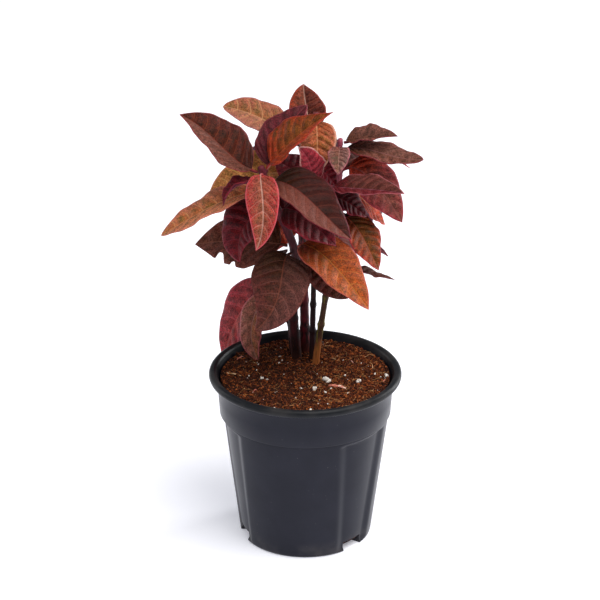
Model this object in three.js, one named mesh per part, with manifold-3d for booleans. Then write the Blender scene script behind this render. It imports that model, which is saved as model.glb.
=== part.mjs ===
// Potted eranthemum: a small bush of wine-red leaves on slim canes, in a round nursery pot.
// Millimetres, +Z up. The origin is the middle of the pot's underside, and the front is the -Y side.

import * as THREE from "three";
import Module from "manifold-3d";
import { mergeVertices } from "three/addons/utils/BufferGeometryUtils.js";

// Clear space between pieces that touch on the real plant
const GAP = 0.35;

// The pot: a thin tapered wall with a collar band and a rolled lip
const POT = {
  height: 102,
  rimRadius: 55,
  lipHeight: 5,
  lipWidth: 4.8,
  collarRadius: 50.4,
  collarBottom: 76.5,
  collarFootRadius: 49,
  shoulderRadius: 48,
  footRadius: 38,
  footRound: 1.5,
  wall: 1.5,
  floor: 2.2,
};

// Three shallow flutes down the wall, each with a drain notch at its foot
const FLUTE = {
  bearings: [47, 167, 287],
  depth: 1.8,
  halfAngleFoot: 16,
  halfAngleTop: 20,
  edgeAngle: 2.5,
  bottom: 3,
  top: 73,
  notchHalfAngle: 11,
  notchHeight: 5.5,
  notchReach: 8,
  notchOverrun: 4,
  rampHeight: 2,
};

const SOIL = {
  level: 98,
  mound: 1.2,
  grain: 0.7,
  edgeGrain: 0.4,
  ripples: [0.83, 0.61, 0.77, 0.53],
  rings: 7,
};

// Canes: round stems that thin towards their growing tips
const CANE = {
  rootRadius: 2.6,
  tipRadius: 1.4,
  sides: 8,
  steps: 16,
};

// Leaves: the blade is an oval with a drawn-out point, folded along its midrib
const LEAF = {
  stalkLength: 4.5,
  stalkHalfWidth: 1.0,
  stalkHalfDepth: 0.85,
  bladeHalfDepth: 0.36,
  ribHalfDepth: 0.55,
  tipHalfWidth: 0.45,
  rise: 35,
  footRoom: 0.55,
  steps: 10,
  stalkSteps: 2,
  rowSpread: 1.08,
  belly: 0.4,
  baseFullness: 0.62,
  launchReach: 0.3,
  bowAt: 0.62,
  edgeDroop: 0.35,
  waves: 2.6,
  waveHeight: 0.8,
};

// Colours of the leaves' upper faces, from the darkest to the brightest
const TONES = {
  wine: 0x3a1620,
  maroon: 0x4a221c,
  mauve: 0x6e4440,
  olive: 0x7a5a34,
  crimson: 0x9a3038,
  rust: 0xa8502c,
};

// Canes by letter, with the points of each from its root end to its growing tip, its girth as a share of
// the usual, and its leaves. A leaf has the height at which it leaves its cane (at), the place of its point
// (tip), and the full width of its blade. bow lifts the blade above the straight line from stalk to point,
// bend carries it sideways, rise is how steeply the stalk leaves the cane, roll turns the blade about its own
// length, and fold lifts each half from flat. belly is how far along the blade it is widest, and stalk is the
// length of its stalk.
const CANES = {
  a: {
    points: [[-5, 22, 72], [-5, 22, 97], [-7, 17, 130], [-6, -2, 176], [-17, -9, 208], [-24.5, -13, 231]],
    girth: 1.3,
    leaves: [
      { at: 228, tip: [-69, 2, 256], width: 36, bow: 5, rise: 22, roll: 14, fold: 28, tone: "maroon" },
      { at: 229, tip: [15, -10, 262], width: 36, bow: 4, roll: -12, fold: 25, belly: 0.33, tone: "rust" },
      { at: 226, tip: [1, 20, 255], width: 28, bow: 6, fold: 25, rise: 40, tone: "wine" },
      { at: 228, tip: [-27, -38, 192], width: 19, bow: 12, bend: -9, fold: 12, tone: "crimson" },
      {
        at: 221, tip: [25, -30, 195], width: 35, bow: 1, rise: 14, roll: -14, fold: 20, stalk: 3,
        tone: "maroon",
      },
      { at: 222, tip: [-45, -20, 211], width: 14, bow: 12, fold: 45, tone: "wine" },
      {
        at: 216, tip: [-80, -10, 189], width: 28, bow: 3, rise: 20, roll: 7, fold: 12,
        belly: 0.5, tone: "rust",
      },
      { at: 207, tip: [-36, -24, 179], width: 34, bow: 5, bend: 14, fold: 20, tone: "wine" },
      {
        at: 203, tip: [17, -18, 186], width: 38, bow: 2, rise: 20, roll: -16, fold: 15, stalk: 1.5,
        belly: 0.36, tone: "wine",
      },
      {
        at: 180, tip: [-62, 10, 175], width: 41, bow: 2, bend: 4, rise: 15, roll: 30, fold: 10,
        tone: "maroon",
      },
      { at: 177, tip: [-28, -32, 141], width: 34, bow: 8, bend: -20, roll: 20, fold: 12, tone: "maroon" },
      { at: 180, tip: [35, -28, 152], width: 34, bow: 6, roll: -10, fold: 15, tone: "rust" },
    ],
  },
  b: {
    points: [[6, 13.5, 72], [6, 13.5, 97], [7.5, 14, 112], [11, 14, 137], [18, 15, 190], [19.5, 17, 236]],
    girth: 0.9,
    leaves: [
      {
        at: 234, tip: [51, 8, 241], width: 21, bow: 1, roll: -17, fold: 42, rise: 15, stalk: 1.5,
        tone: "mauve",
      },
      {
        at: 229, tip: [65, -2, 231], width: 18, bow: -4, roll: -15, fold: 12, belly: 0.5, stalk: 2,
        tone: "mauve",
      },
      { at: 231, tip: [18, -5, 223], width: 14, bow: 4, fold: 25, tone: "mauve" },
      { at: 218, tip: [54, 4, 191], width: 28, bow: 6, roll: -30, fold: 10, tone: "mauve" },
      { at: 227, tip: [59, 32, 212.5], width: 14, bow: 5, fold: 15, tone: "crimson" },
      { at: 203, tip: [45, 22, 182], width: 25, bow: 2, roll: -20, fold: 10, tone: "rust" },
      { at: 190, tip: [41, -1, 164], width: 26, bow: 3, rise: 15, roll: -5, fold: 10, tone: "rust" },
      { at: 178, tip: [47, 16, 165], width: 16, bow: 2, rise: 10, fold: 30, tone: "wine" },
      { at: 158, tip: [51, 22, 148], width: 13, bow: 0, rise: 10, fold: 20, tone: "maroon" },
      { at: 215, tip: [40, 60, 202], width: 31, bow: 8, fold: 20, tone: "maroon" },
      { at: 190, tip: [42, 62, 168], width: 26, bow: 3, fold: 20, tone: "mauve" },
      { at: 184, tip: [32, 66, 150], width: 28, bow: 8, fold: 20, tone: "maroon" },
    ],
  },
  c: {
    points: [[4, 20.5, 72], [4, 20.5, 97], [4.5, 20, 131], [6, 12, 180], [11, 2, 217]],
    girth: 0.8,
    leaves: [
      { at: 214, tip: [54, -22, 219], width: 24, bow: 1, rise: 20, roll: -13, fold: 28, tone: "mauve" },
      { at: 206, tip: [34, 2, 195], width: 22, bow: 3, roll: -15, fold: 12, tone: "maroon" },
      { at: 168, tip: [24, -2, 147], width: 30, bow: 2, bend: 5, roll: -35, fold: 12, tone: "maroon" },
      { at: 212, tip: [-4, 4, 236], width: 22, bow: 4, roll: 35, fold: 15, tone: "crimson" },
      { at: 209, tip: [-18, 12, 226], width: 29, bow: 2, roll: 20, fold: 12, tone: "wine" },
    ],
  },
  d: {
    points: [[0, 30, 72], [0, 30, 97], [-1, 34, 150], [-2, 34, 195], [6, 31, 246]],
    girth: 1.2,
    leaves: [
      { at: 230, tip: [-1, 56, 254], width: 22, bow: 4, fold: 15, rise: 40, bend: -2, tone: "rust" },
      {
        at: 224, tip: [-46, 28, 251], width: 25, bow: 8, bend: -5, roll: 30, fold: 15,
        belly: 0.5, tone: "olive",
      },
      { at: 243, tip: [7, 10, 218], width: 22, bow: 5, rise: 20, fold: 10, tone: "rust" },
      { at: 221, tip: [-34, 68, 198], width: 28, bow: 8, fold: 20, tone: "maroon" },
      { at: 218, tip: [14, 82, 197], width: 28, bow: 8, fold: 20, tone: "wine" },
      { at: 193, tip: [-54, 56, 160], width: 28, bow: 6, fold: 20, tone: "maroon" },
      { at: 186, tip: [-2, 88, 164], width: 30, bow: 9, fold: 18, tone: "maroon" },
      { at: 165, tip: [26, 78, 134], width: 28, bow: 8, fold: 18, tone: "rust" },
      { at: 207, tip: [-56, 16, 197], width: 33, bow: 10, rise: 20, roll: 30, fold: 12, tone: "olive" },
      { at: 183, tip: [-21, 10, 168], width: 30, bow: 7, fold: 15, tone: "crimson" },
      { at: 212, tip: [20, 30, 196], width: 22, bow: 4, roll: -20, fold: 12, tone: "maroon" },
      { at: 201, tip: [-28, 8, 186], width: 30, bow: 4, roll: 15, fold: 12, tone: "wine" },
    ],
  },
  e: {
    points: [[-7, 28, 72], [-7, 28, 97], [-9, 29, 120], [-17, 33, 142], [-30, 40, 164]],
    girth: 1,
    leaves: [
      { at: 137, tip: [-48, 57, 76], width: 28, bow: 14, rise: 10, roll: 75, fold: 8, tone: "crimson" },
      {
        at: 138, tip: [-27, 14, 101], width: 17, bow: 3, bend: 16, fold: 12, rise: 15,
        belly: 0.5, tone: "olive",
      },
      { at: 161, tip: [-56, 58, 148], width: 24, bow: 6, fold: 18, tone: "maroon" },
      { at: 150, tip: [-24, 80, 128], width: 28, bow: 9, fold: 18, tone: "maroon" },
    ],
  },
};

const wasm = await Module();
wasm.setup();

const radians = THREE.MathUtils.degToRad;
const up = new THREE.Vector3(0, 0, 1);

// A closed mesh from points and triangles, with its faces turned outward
function solidFrom(points, triangles) {
  let volume = 0;
  for (const [a, b, c] of triangles) {
    volume += points[a].dot(new THREE.Vector3().crossVectors(points[b], points[c]));
  }
  const index = triangles.flatMap(([a, b, c]) => (volume > 0 ? [a, b, c] : [a, c, b]));
  const geometry = new THREE.BufferGeometry();
  geometry.setAttribute("position", new THREE.Float32BufferAttribute(points.flatMap((p) => p.toArray()), 3));
  geometry.setIndex(index);
  return geometry;
}

// A closed body from a run of rings with the same number of points, ended by a point at each end
function ringBody(rings, firstEnd, lastEnd) {
  const count = rings[0].length;
  const points = [...rings.flat(), firstEnd, lastEnd];
  const first = points.length - 2;
  const last = points.length - 1;
  const triangles = [];
  for (let j = 0; j < count; j++) {
    const k = (j + 1) % count;
    triangles.push([first, k, j]);
    triangles.push([last, (rings.length - 1) * count + j, (rings.length - 1) * count + k]);
    for (let i = 0; i + 1 < rings.length; i++) {
      const here = i * count;
      const next = here + count;
      triangles.push([here + j, here + k, next + k], [here + j, next + k, next + j]);
    }
  }
  return solidFrom(points, triangles);
}

function toManifold(geometry) {
  const bare = geometry.clone();
  bare.deleteAttribute("normal");
  bare.deleteAttribute("uv");
  const merged = mergeVertices(bare, 1e-4);
  return new wasm.Manifold(new wasm.Mesh({
    numProp: 3,
    vertProperties: new Float32Array(merged.attributes.position.array),
    triVerts: new Uint32Array(merged.index.array),
  }));
}

function subtract(geometry, cutters) {
  let body = toManifold(geometry);
  for (const cutter of cutters) {
    body = body.subtract(toManifold(cutter));
  }
  const mesh = body.getMesh();
  const result = new THREE.BufferGeometry();
  result.setAttribute("position", new THREE.BufferAttribute(new Float32Array(mesh.vertProperties), 3));
  result.setIndex(new THREE.BufferAttribute(new Uint32Array(mesh.triVerts), 1));
  return result;
}

// Bearings are degrees from the front (-Y) towards +X
function onBearing(bearing, radius, z) {
  return new THREE.Vector3(radius * Math.sin(radians(bearing)), -radius * Math.cos(radians(bearing)), z);
}

function smooth(edge0, edge1, value) {
  return THREE.MathUtils.smoothstep(value, edge0, edge1);
}

// How far the wall steps in at a bearing and height, inside one of the flutes
function fluteDepth(bearing, z) {
  const along = smooth(0, FLUTE.bottom, z) * (1 - smooth(FLUTE.top, FLUTE.top + FLUTE.rampHeight, z));
  const half = THREE.MathUtils.lerp(FLUTE.halfAngleFoot, FLUTE.halfAngleTop, z / FLUTE.top);
  let depth = 0;
  for (const middle of FLUTE.bearings) {
    const away = Math.abs(THREE.MathUtils.euclideanModulo(bearing - middle + 180, 360) - 180);
    depth = Math.max(depth, 1 - smooth(half - FLUTE.edgeAngle / 2, half + FLUTE.edgeAngle / 2, away));
  }
  return depth * along * FLUTE.depth;
}

// Bearings round the pot: an even spread, with extra ones along the flutes' edges
function wallBearings() {
  const spread = new Set();
  for (let bearing = 0; bearing < 360; bearing += 9) {
    spread.add(bearing);
  }
  for (const middle of FLUTE.bearings) {
    for (const side of [-1, 1]) {
      for (const offset of [FLUTE.halfAngleFoot - 2, FLUTE.halfAngleFoot + 1, FLUTE.halfAngleTop + 1.5]) {
        spread.add(THREE.MathUtils.euclideanModulo(middle + side * offset, 360));
      }
    }
  }
  return [...spread].sort((one, other) => one - other);
}

// Heights of the rings of points down the wall
const WALL_HEIGHTS = [FLUTE.bottom, FLUTE.top, FLUTE.top + FLUTE.rampHeight];

// The wall's outer radius at a height, without flutes
function wallRadius(z) {
  return THREE.MathUtils.lerp(POT.footRadius, POT.shoulderRadius, z / POT.collarBottom);
}

function fluted(bearings, radius, z) {
  return bearings.map((bearing) => onBearing(bearing, radius - fluteDepth(bearing, z), z));
}

// The wall's inner face from the floor up, drawn in by a clearance
function innerProfile(clearance) {
  return [
    [POT.footRadius - POT.wall - 0.6, POT.floor],
    ...WALL_HEIGHTS.map((z) => [wallRadius(z) - POT.wall, z]),
    [POT.collarFootRadius - POT.wall, POT.collarBottom + 1],
    [POT.collarRadius - POT.wall, POT.height - POT.lipHeight - 1],
  ].map(([radius, z]) => [radius - clearance, z]);
}

function makePot() {
  const bearings = wallBearings();
  const lipBottom = POT.height - POT.lipHeight;
  const lipMiddle = POT.rimRadius - POT.lipWidth / 2;
  const profile = [
    [POT.footRadius * 0.5, 0],
    [POT.footRadius - POT.footRound, 0],
    [POT.footRadius - POT.footRound * 0.2, POT.footRound * 0.5],
    ...WALL_HEIGHTS.map((z) => [wallRadius(z), z]),
    [POT.collarFootRadius, POT.collarBottom],
    [POT.collarRadius, lipBottom + 0.4],
    [POT.rimRadius - 1.6, lipBottom],
    [POT.rimRadius - 0.4, lipBottom + 0.8],
    [POT.rimRadius, lipBottom + 2.4],
    [POT.rimRadius - 0.5, POT.height - 0.9],
    [lipMiddle + 0.6, POT.height],
    [lipMiddle - 0.8, POT.height - 0.1],
    [POT.rimRadius - POT.lipWidth, POT.height - 1.2],
    ...innerProfile(0).reverse(),
    [POT.footRadius * 0.5, POT.floor],
  ];
  const rings = profile.map(([radius, z]) => fluted(bearings, radius, z));
  const shell = ringBody(rings, new THREE.Vector3(0, 0, 0), new THREE.Vector3(0, 0, POT.floor));
  return subtract(shell, FLUTE.bearings.map(makeNotch));
}

// The wedge that a drain notch takes out of the wall and the floor's edge
function makeNotch(bearing) {
  const inner = POT.footRadius - FLUTE.notchReach;
  const outer = POT.footRadius + FLUTE.notchOverrun;
  const shape = new THREE.Shape();
  const half = radians(FLUTE.notchHalfAngle);
  const middle = radians(bearing - 90);
  shape.absarc(0, 0, outer, middle - half, middle + half, false);
  shape.absarc(0, 0, inner, middle + half, middle - half, true);
  const depth = FLUTE.notchHeight + FLUTE.notchOverrun;
  const wedge = new THREE.ExtrudeGeometry(shape, { depth, bevelEnabled: false, curveSegments: 3 });
  wedge.translate(0, 0, -FLUTE.notchOverrun);
  return wedge;
}

// A repeatable rough height for the soil, from two crossed ripples
function soilGrain(x, y) {
  const [alongX, swayX, alongY, swayY] = SOIL.ripples;
  const crest = Math.sin(x * alongX + Math.sin(y * swayX) * 2);
  return crest * Math.cos(y * alongY + Math.sin(x * swayY) * 2) * SOIL.grain;
}

function makeSoil(caneBodies) {
  const bearings = wallBearings();
  const side = innerProfile(GAP * 1.3).map(([radius, z], i) => [radius, i > 0 ? z : z + GAP]);
  const edge = side.at(-1)[0];
  const rings = [];
  for (let i = 1; i <= SOIL.rings; i++) {
    const reach = i / SOIL.rings;
    const rough = reach < 1 ? 1 : SOIL.edgeGrain;
    rings.push(bearings.map((bearing) => {
      const point = onBearing(bearing, edge * reach, 0);
      point.z = SOIL.level + SOIL.mound * (1 - reach * reach) + soilGrain(point.x, point.y) * rough;
      return point;
    }));
  }
  rings.push(...side.reverse().map(([radius, z]) => fluted(bearings, radius, z)));
  const middle = new THREE.Vector3(0, 0, SOIL.level + SOIL.mound);
  const bottom = new THREE.Vector3(0, 0, POT.floor + GAP);
  return subtract(ringBody(rings, middle, bottom), caneBodies);
}

// A cane's centre line, its radius, and the point on it at a height
class Cane {
  constructor(points, girth) {
    this.girth = girth;
    this.curve = new THREE.CatmullRomCurve3(points.map((p) => new THREE.Vector3(...p)), false, "centripetal");
  }

  radius(t) {
    return this.girth * THREE.MathUtils.lerp(CANE.rootRadius, CANE.tipRadius, t);
  }

  parameterAt(z) {
    let low = 0;
    let high = 1;
    for (let i = 0; i < 30; i++) {
      const middle = (low + high) / 2;
      if (this.curve.getPoint(middle).z < z) {
        low = middle;
      } else {
        high = middle;
      }
    }
    return low;
  }

  // The solid cane, or with clearance the hole that it stands in
  body(clearance = 0) {
    const frames = this.curve.computeFrenetFrames(CANE.steps, false);
    const rings = [];
    for (let i = 0; i <= CANE.steps; i++) {
      const t = i / CANE.steps;
      const centre = this.curve.getPointAt(t);
      if (i === 0) {
        centre.addScaledVector(this.curve.getTangentAt(0), -clearance);
      }
      const radius = this.radius(t) + clearance;
      const ring = [];
      for (let j = 0; j < CANE.sides; j++) {
        const angle = (j / CANE.sides) * 2 * Math.PI;
        ring.push(centre.clone()
          .addScaledVector(frames.normals[i], Math.cos(angle) * radius)
          .addScaledVector(frames.binormals[i], Math.sin(angle) * radius));
      }
      rings.push(ring);
    }
    const start = this.curve.getPointAt(0).addScaledVector(this.curve.getTangentAt(0), -clearance);
    const end = this.curve.getPointAt(1).addScaledVector(this.curve.getTangentAt(1), this.radius(1));
    return ringBody(rings, start, end);
  }
}

// The blade's half width at a share of its length, as a share of the greatest, which it has at the belly
function bladeOutline(share, belly) {
  const point = LEAF.baseFullness * (1 - belly) / belly;
  return (share / belly) ** LEAF.baseFullness * ((1 - share) / (1 - belly)) ** point;
}

// Half the midrib's depth at a share of the blade's length: it thins out towards the point
function ribDepth(share) {
  const root = THREE.MathUtils.lerp(LEAF.stalkHalfDepth, LEAF.ribHalfDepth, Math.min(1, share * 4));
  return THREE.MathUtils.lerp(root, LEAF.bladeHalfDepth, share);
}

function makeLeaf(cane, leaf) {
  const t = cane.parameterAt(leaf.at);
  const axis = cane.curve.getPoint(t);
  const tip = new THREE.Vector3(...leaf.tip);
  const outward = new THREE.Vector3(tip.x - axis.x, tip.y - axis.y, 0).normalize();
  const grain = cane.curve.getTangent(t);
  const away = outward.clone().addScaledVector(grain, -outward.dot(grain)).normalize();
  const start = axis.clone().addScaledVector(away, cane.radius(t) + GAP + LEAF.footRoom);
  const side = new THREE.Vector3().crossVectors(outward, up);
  const chord = tip.clone().sub(start);
  const length = chord.length();
  const lift = new THREE.Vector3().crossVectors(side, chord).normalize();
  const rise = radians(leaf.rise ?? LEAF.rise);
  const launch = away.clone().multiplyScalar(Math.cos(rise)).addScaledVector(grain, Math.sin(rise));
  const bowed = start.clone().addScaledVector(chord, LEAF.bowAt).addScaledVector(lift, leaf.bow);
  const midrib = new THREE.CubicBezierCurve3(
    start,
    start.clone().addScaledVector(launch, length * LEAF.launchReach),
    bowed.addScaledVector(side, leaf.bend ?? 0),
    tip,
  );
  const stalkShare = (leaf.stalk ?? LEAF.stalkLength) / length;
  const roll = radians(leaf.roll ?? 0);
  const fold = radians(leaf.fold);
  const columns = [-1, -0.5, 0, 0.5, 1];
  const bladeShare = (u) => Math.max(0, (u - stalkShare) / (1 - stalkShare));

  const place = (u, v) => {
    const along = midrib.getTangent(u);
    const centre = midrib.getPoint(u);
    const right = side.clone().addScaledVector(along, -side.dot(along)).normalize();
    const face = new THREE.Vector3().crossVectors(right, along);
    const across = right.clone().multiplyScalar(Math.cos(roll)).addScaledVector(face, Math.sin(roll));
    const above = face.clone().multiplyScalar(Math.cos(roll)).addScaledVector(right, -Math.sin(roll));
    const share = Math.min(bladeShare(u), 1);
    const fullness = bladeOutline(share, leaf.belly ?? LEAF.belly);
    const least = THREE.MathUtils.lerp(LEAF.stalkHalfWidth, LEAF.tipHalfWidth, share);
    const half = Math.max(fullness * leaf.width / 2, least);
    const ripple = Math.sin(share * LEAF.waves * 2 * Math.PI + v) * LEAF.waveHeight * v * v * fullness;
    const droop = 1 - LEAF.edgeDroop * Math.abs(v);
    return centre
      .addScaledVector(across, v * half * Math.cos(fold))
      .addScaledVector(above, Math.abs(v) * half * Math.sin(fold) * droop + ripple);
  };

  const rows = [];
  for (let i = 0; i <= LEAF.stalkSteps; i++) {
    rows.push(stalkShare * i / LEAF.stalkSteps);
  }
  for (let i = 1; i <= LEAF.steps; i++) {
    rows.push(stalkShare + (1 - stalkShare) * (i / LEAF.steps) ** LEAF.rowSpread);
  }
  const top = [];
  const bottom = [];
  const nudge = 0.01;
  for (const u of rows) {
    for (const v of columns) {
      const here = place(u, v);
      const ahead = u < 0.5 ? place(u + nudge, v).sub(here) : here.clone().sub(place(u - nudge, v));
      const aside = place(u, Math.min(v + 0.1, 1)).sub(place(u, Math.max(v - 0.1, -1)));
      const normal = new THREE.Vector3().crossVectors(aside, ahead).normalize();
      const onStalk = bladeShare(u) < 1e-6 && Math.abs(v) < 1;
      const onRib = v === 0 ? ribDepth(bladeShare(u)) : LEAF.bladeHalfDepth;
      const depth = onStalk ? LEAF.stalkHalfDepth : onRib;
      top.push(here.clone().addScaledVector(normal, depth));
      bottom.push(here.clone().addScaledVector(normal, -depth));
    }
  }
  return sheetBody(top, bottom, rows.length, columns.length);
}

// A closed body between two grids of points that are split into triangles alike
function sheetBody(top, bottom, rowCount, columnCount) {
  const points = [...top, ...bottom];
  const under = top.length;
  const triangles = [];
  const cell = (i, j) => i * columnCount + j;
  const wall = (a, b) => triangles.push([a, a + under, b + under], [a, b + under, b]);
  for (let i = 0; i + 1 < rowCount; i++) {
    for (let j = 0; j + 1 < columnCount; j++) {
      const [a, b, c, d] = [cell(i, j), cell(i, j + 1), cell(i + 1, j + 1), cell(i + 1, j)];
      const halves = j < (columnCount - 1) / 2 ? [[a, b, c], [a, c, d]] : [[a, b, d], [b, c, d]];
      for (const [p, q, r] of halves) {
        triangles.push([p, q, r], [p + under, r + under, q + under]);
      }
    }
    wall(cell(i + 1, 0), cell(i, 0));
    wall(cell(i, columnCount - 1), cell(i + 1, columnCount - 1));
  }
  for (let j = 0; j + 1 < columnCount; j++) {
    wall(cell(0, j), cell(0, j + 1));
    wall(cell(rowCount - 1, j + 1), cell(rowCount - 1, j));
  }
  return solidFrom(points, triangles);
}

const materials = {
  pot: new THREE.MeshStandardMaterial({ color: 0x2b2d31, roughness: 0.45, metalness: 0 }),
  soil: new THREE.MeshStandardMaterial({ color: 0x4a2a1a, roughness: 1, metalness: 0 }),
  cane: new THREE.MeshStandardMaterial({ color: 0x38201c, roughness: 0.8, metalness: 0 }),
};
for (const [tone, color] of Object.entries(TONES)) {
  materials[tone] = new THREE.MeshStandardMaterial({ color, roughness: 0.5, metalness: 0 });
}

const plant = new THREE.Group();

function add(name, geometry, material) {
  const mesh = new THREE.Mesh(geometry, material.clone());
  mesh.name = name;
  plant.add(mesh);
}

const canes = Object.entries(CANES).map(([letter, { points, girth, leaves }]) => {
  return { letter, leaves, cane: new Cane(points, girth) };
});
add("pot", makePot(), materials.pot);
add("soil", makeSoil(canes.map(({ cane }) => cane.body(GAP))), materials.soil);
for (const { letter, leaves, cane } of canes) {
  add(`cane_${letter}`, cane.body(), materials.cane);
  leaves.forEach((leaf, i) => add(`leaf_${letter}${i + 1}`, makeLeaf(cane, leaf), materials[leaf.tone]));
}

export default plant;
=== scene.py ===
"""A potted eranthemum: wine-red leaves on slim canes, in a round dark pot of coir and perlite.

Sizes in this file are millimetres, and a mesh becomes metres when its object is made. The origin is the
middle of the pot's underside, +Z is up, and the front is the -Y side. The fine pieces made here take the
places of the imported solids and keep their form.
"""

from __future__ import annotations

import logging
import math
from collections.abc import Callable
from dataclasses import dataclass
from enum import Enum

import bpy
import numpy as np
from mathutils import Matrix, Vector, noise

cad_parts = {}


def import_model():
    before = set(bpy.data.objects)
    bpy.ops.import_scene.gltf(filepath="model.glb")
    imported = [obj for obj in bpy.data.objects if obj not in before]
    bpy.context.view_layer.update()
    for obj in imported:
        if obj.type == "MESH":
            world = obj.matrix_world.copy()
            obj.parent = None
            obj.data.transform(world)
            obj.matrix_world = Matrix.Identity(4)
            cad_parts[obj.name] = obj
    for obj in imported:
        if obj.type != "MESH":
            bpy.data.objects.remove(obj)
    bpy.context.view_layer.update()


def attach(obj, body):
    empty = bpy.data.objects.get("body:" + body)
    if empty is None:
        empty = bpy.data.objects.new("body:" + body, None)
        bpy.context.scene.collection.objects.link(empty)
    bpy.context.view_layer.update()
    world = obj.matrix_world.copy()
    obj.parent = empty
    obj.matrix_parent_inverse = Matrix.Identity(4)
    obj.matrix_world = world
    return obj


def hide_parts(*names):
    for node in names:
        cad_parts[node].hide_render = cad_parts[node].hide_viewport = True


LOG = logging.getLogger("eranthemum")
BODY = "root"
METRES = 0.001
UP = np.array([0.0, 0.0, 1.0])

Numbers = float | np.ndarray
Point = tuple[float, float, float]
Colour = tuple[float, float, float, float]


# Numbers, curves and meshes.


def lerp(low: Numbers, high: Numbers, share: Numbers) -> Numbers:
    """The value a share of the way from low to high."""
    return low + (high - low) * share


def smooth(low: Numbers, high: Numbers, value: Numbers) -> Numbers:
    """0 below low, 1 above high, and a soft step between them."""
    share = np.clip((value - low) / (high - low), 0.0, 1.0)
    return share * share * (3.0 - 2.0 * share)


def fraction(value: Numbers) -> Numbers:
    """What is left of a number above a whole number."""
    return value - np.floor(value)


def unit(vectors: np.ndarray) -> np.ndarray:
    """Vectors along the last axis, scaled to length one."""
    return vectors / np.linalg.norm(vectors, axis=-1, keepdims=True)


def on_bearing(bearing: Numbers, radius: Numbers, height: Numbers) -> np.ndarray:
    """Points round the pot's axis.

    Args:
        bearing: Degrees from the front (-Y) towards +X.
        radius: Distance from the axis.
        height: Height above the ground.

    Returns:
        The points, with x, y, z along the last axis.
    """
    angle = np.radians(bearing)
    parts = np.broadcast_arrays(radius * np.sin(angle), -radius * np.cos(angle), height)
    return np.stack(parts, axis=-1)


class Centreline:
    """A smooth line through points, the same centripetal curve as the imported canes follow."""

    REACH = 1e-4
    HALVINGS = 30

    def __init__(self, points: list[Point]) -> None:
        """Keeps the points that the line passes through."""
        self.points = [np.array(p, float) for p in points]

    def point(self, t: float) -> np.ndarray:
        """Finds a place on the line.

        Args:
            t: The share of the line's spans before it, from 0 to 1.

        Returns:
            The place.
        """
        spans = len(self.points) - 1
        place = min(max(t, 0.0), 1.0) * spans
        i = min(int(place), spans - 1)
        w = place - i
        p1, p2 = self.points[i], self.points[i + 1]
        p0 = self.points[i - 1] if i > 0 else 2 * p1 - p2
        p3 = self.points[i + 2] if i + 2 <= spans else 2 * p2 - p1
        d0, d1, d2 = (np.dot(b - a, b - a) ** 0.25 for a, b in ((p0, p1), (p1, p2), (p2, p3)))
        t1 = ((p1 - p0) / d0 - (p2 - p0) / (d0 + d1) + (p2 - p1) / d1) * d1
        t2 = ((p2 - p1) / d1 - (p3 - p1) / (d1 + d2) + (p3 - p2) / d2) * d1
        c2 = -3 * p1 + 3 * p2 - 2 * t1 - t2
        c3 = 2 * p1 - 2 * p2 + t1 + t2
        return p1 + t1 * w + c2 * w**2 + c3 * w**3

    def tangent(self, t: float) -> np.ndarray:
        """The line's direction at t."""
        return unit(self.point(min(t + self.REACH, 1.0)) - self.point(max(t - self.REACH, 0.0)))

    def parameter_at(self, height: float) -> float:
        """Finds where the line reaches a height.

        Args:
            height: The height, on a line that rises all the way.

        Returns:
            The share t of the line's spans before that place.
        """
        low, high = 0.0, 1.0
        for _ in range(self.HALVINGS):
            middle = (low + high) / 2
            if self.point(middle)[2] < height:
                low = middle
            else:
                high = middle
        return low


@dataclass
class Sheet:
    """A mesh in the making: points in millimetres, and runs of faces that share a finish.

    Args:
        points: The points, one row each.
        faces: Arrays of point numbers, each with the number of its finish.
        maps: Pairs of numbers for each point, by the name of the map that holds them.
    """

    points: np.ndarray
    faces: list[tuple[np.ndarray, int]]
    maps: dict[str, np.ndarray]

    def volume(self) -> float:
        """Measures what the faces enclose.

        Returns:
            Six times its volume, negative where the faces turn inward.
        """
        total = 0.0
        for run, _ in self.faces:
            for i in range(1, run.shape[1] - 1):
                a, b, c = (self.points[run[:, k]] for k in (0, i, i + 1))
                total += float(np.einsum("ij,ij->i", a, np.cross(b, c)).sum())
        return total

    def to_object(self, name: str, finishes: list[bpy.types.Material]) -> bpy.types.Object:
        """Makes a smooth object in metres.

        Args:
            name: The piece's name.
            finishes: Its materials, in the order that the face runs number them.

        Returns:
            The new object, linked to the scene.
        """
        outward = self.volume() >= 0
        corners = [run if outward else run[:, ::-1] for run, _ in self.faces]
        mesh = bpy.data.meshes.new(name)
        mesh.from_pydata((self.points * METRES).tolist(), [], [f for run in corners for f in run.tolist()])
        numbers = np.concatenate([np.full(len(run), number) for run, number in self.faces])
        mesh.polygons.foreach_set("material_index", numbers.astype(np.int32))
        mesh.polygons.foreach_set("use_smooth", np.ones(len(numbers), bool))
        owners = np.zeros(len(mesh.loops), np.int32)
        mesh.loops.foreach_get("vertex_index", owners)
        for label, pairs in self.maps.items():
            mesh.uv_layers.new(name=label).data.foreach_set("uv", pairs[owners].astype(np.float32).ravel())
        for finish in finishes:
            mesh.materials.append(finish)
        mesh.update()
        piece = bpy.data.objects.new(name, mesh)
        bpy.context.scene.collection.objects.link(piece)
        return piece


def ring_faces(rows: int, columns: int) -> np.ndarray:
    """Quads between closed rings of points.

    Args:
        rows: The number of rings.
        columns: The number of points in each.

    Returns:
        One row of four point numbers for each quad.
    """
    i, j = np.meshgrid(np.arange(rows - 1), np.arange(columns), indexing="ij")
    near, far = i * columns, (i + 1) * columns
    k = (j + 1) % columns
    return np.stack([near + j, near + k, far + k, far + j], axis=-1).reshape(-1, 4)


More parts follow.
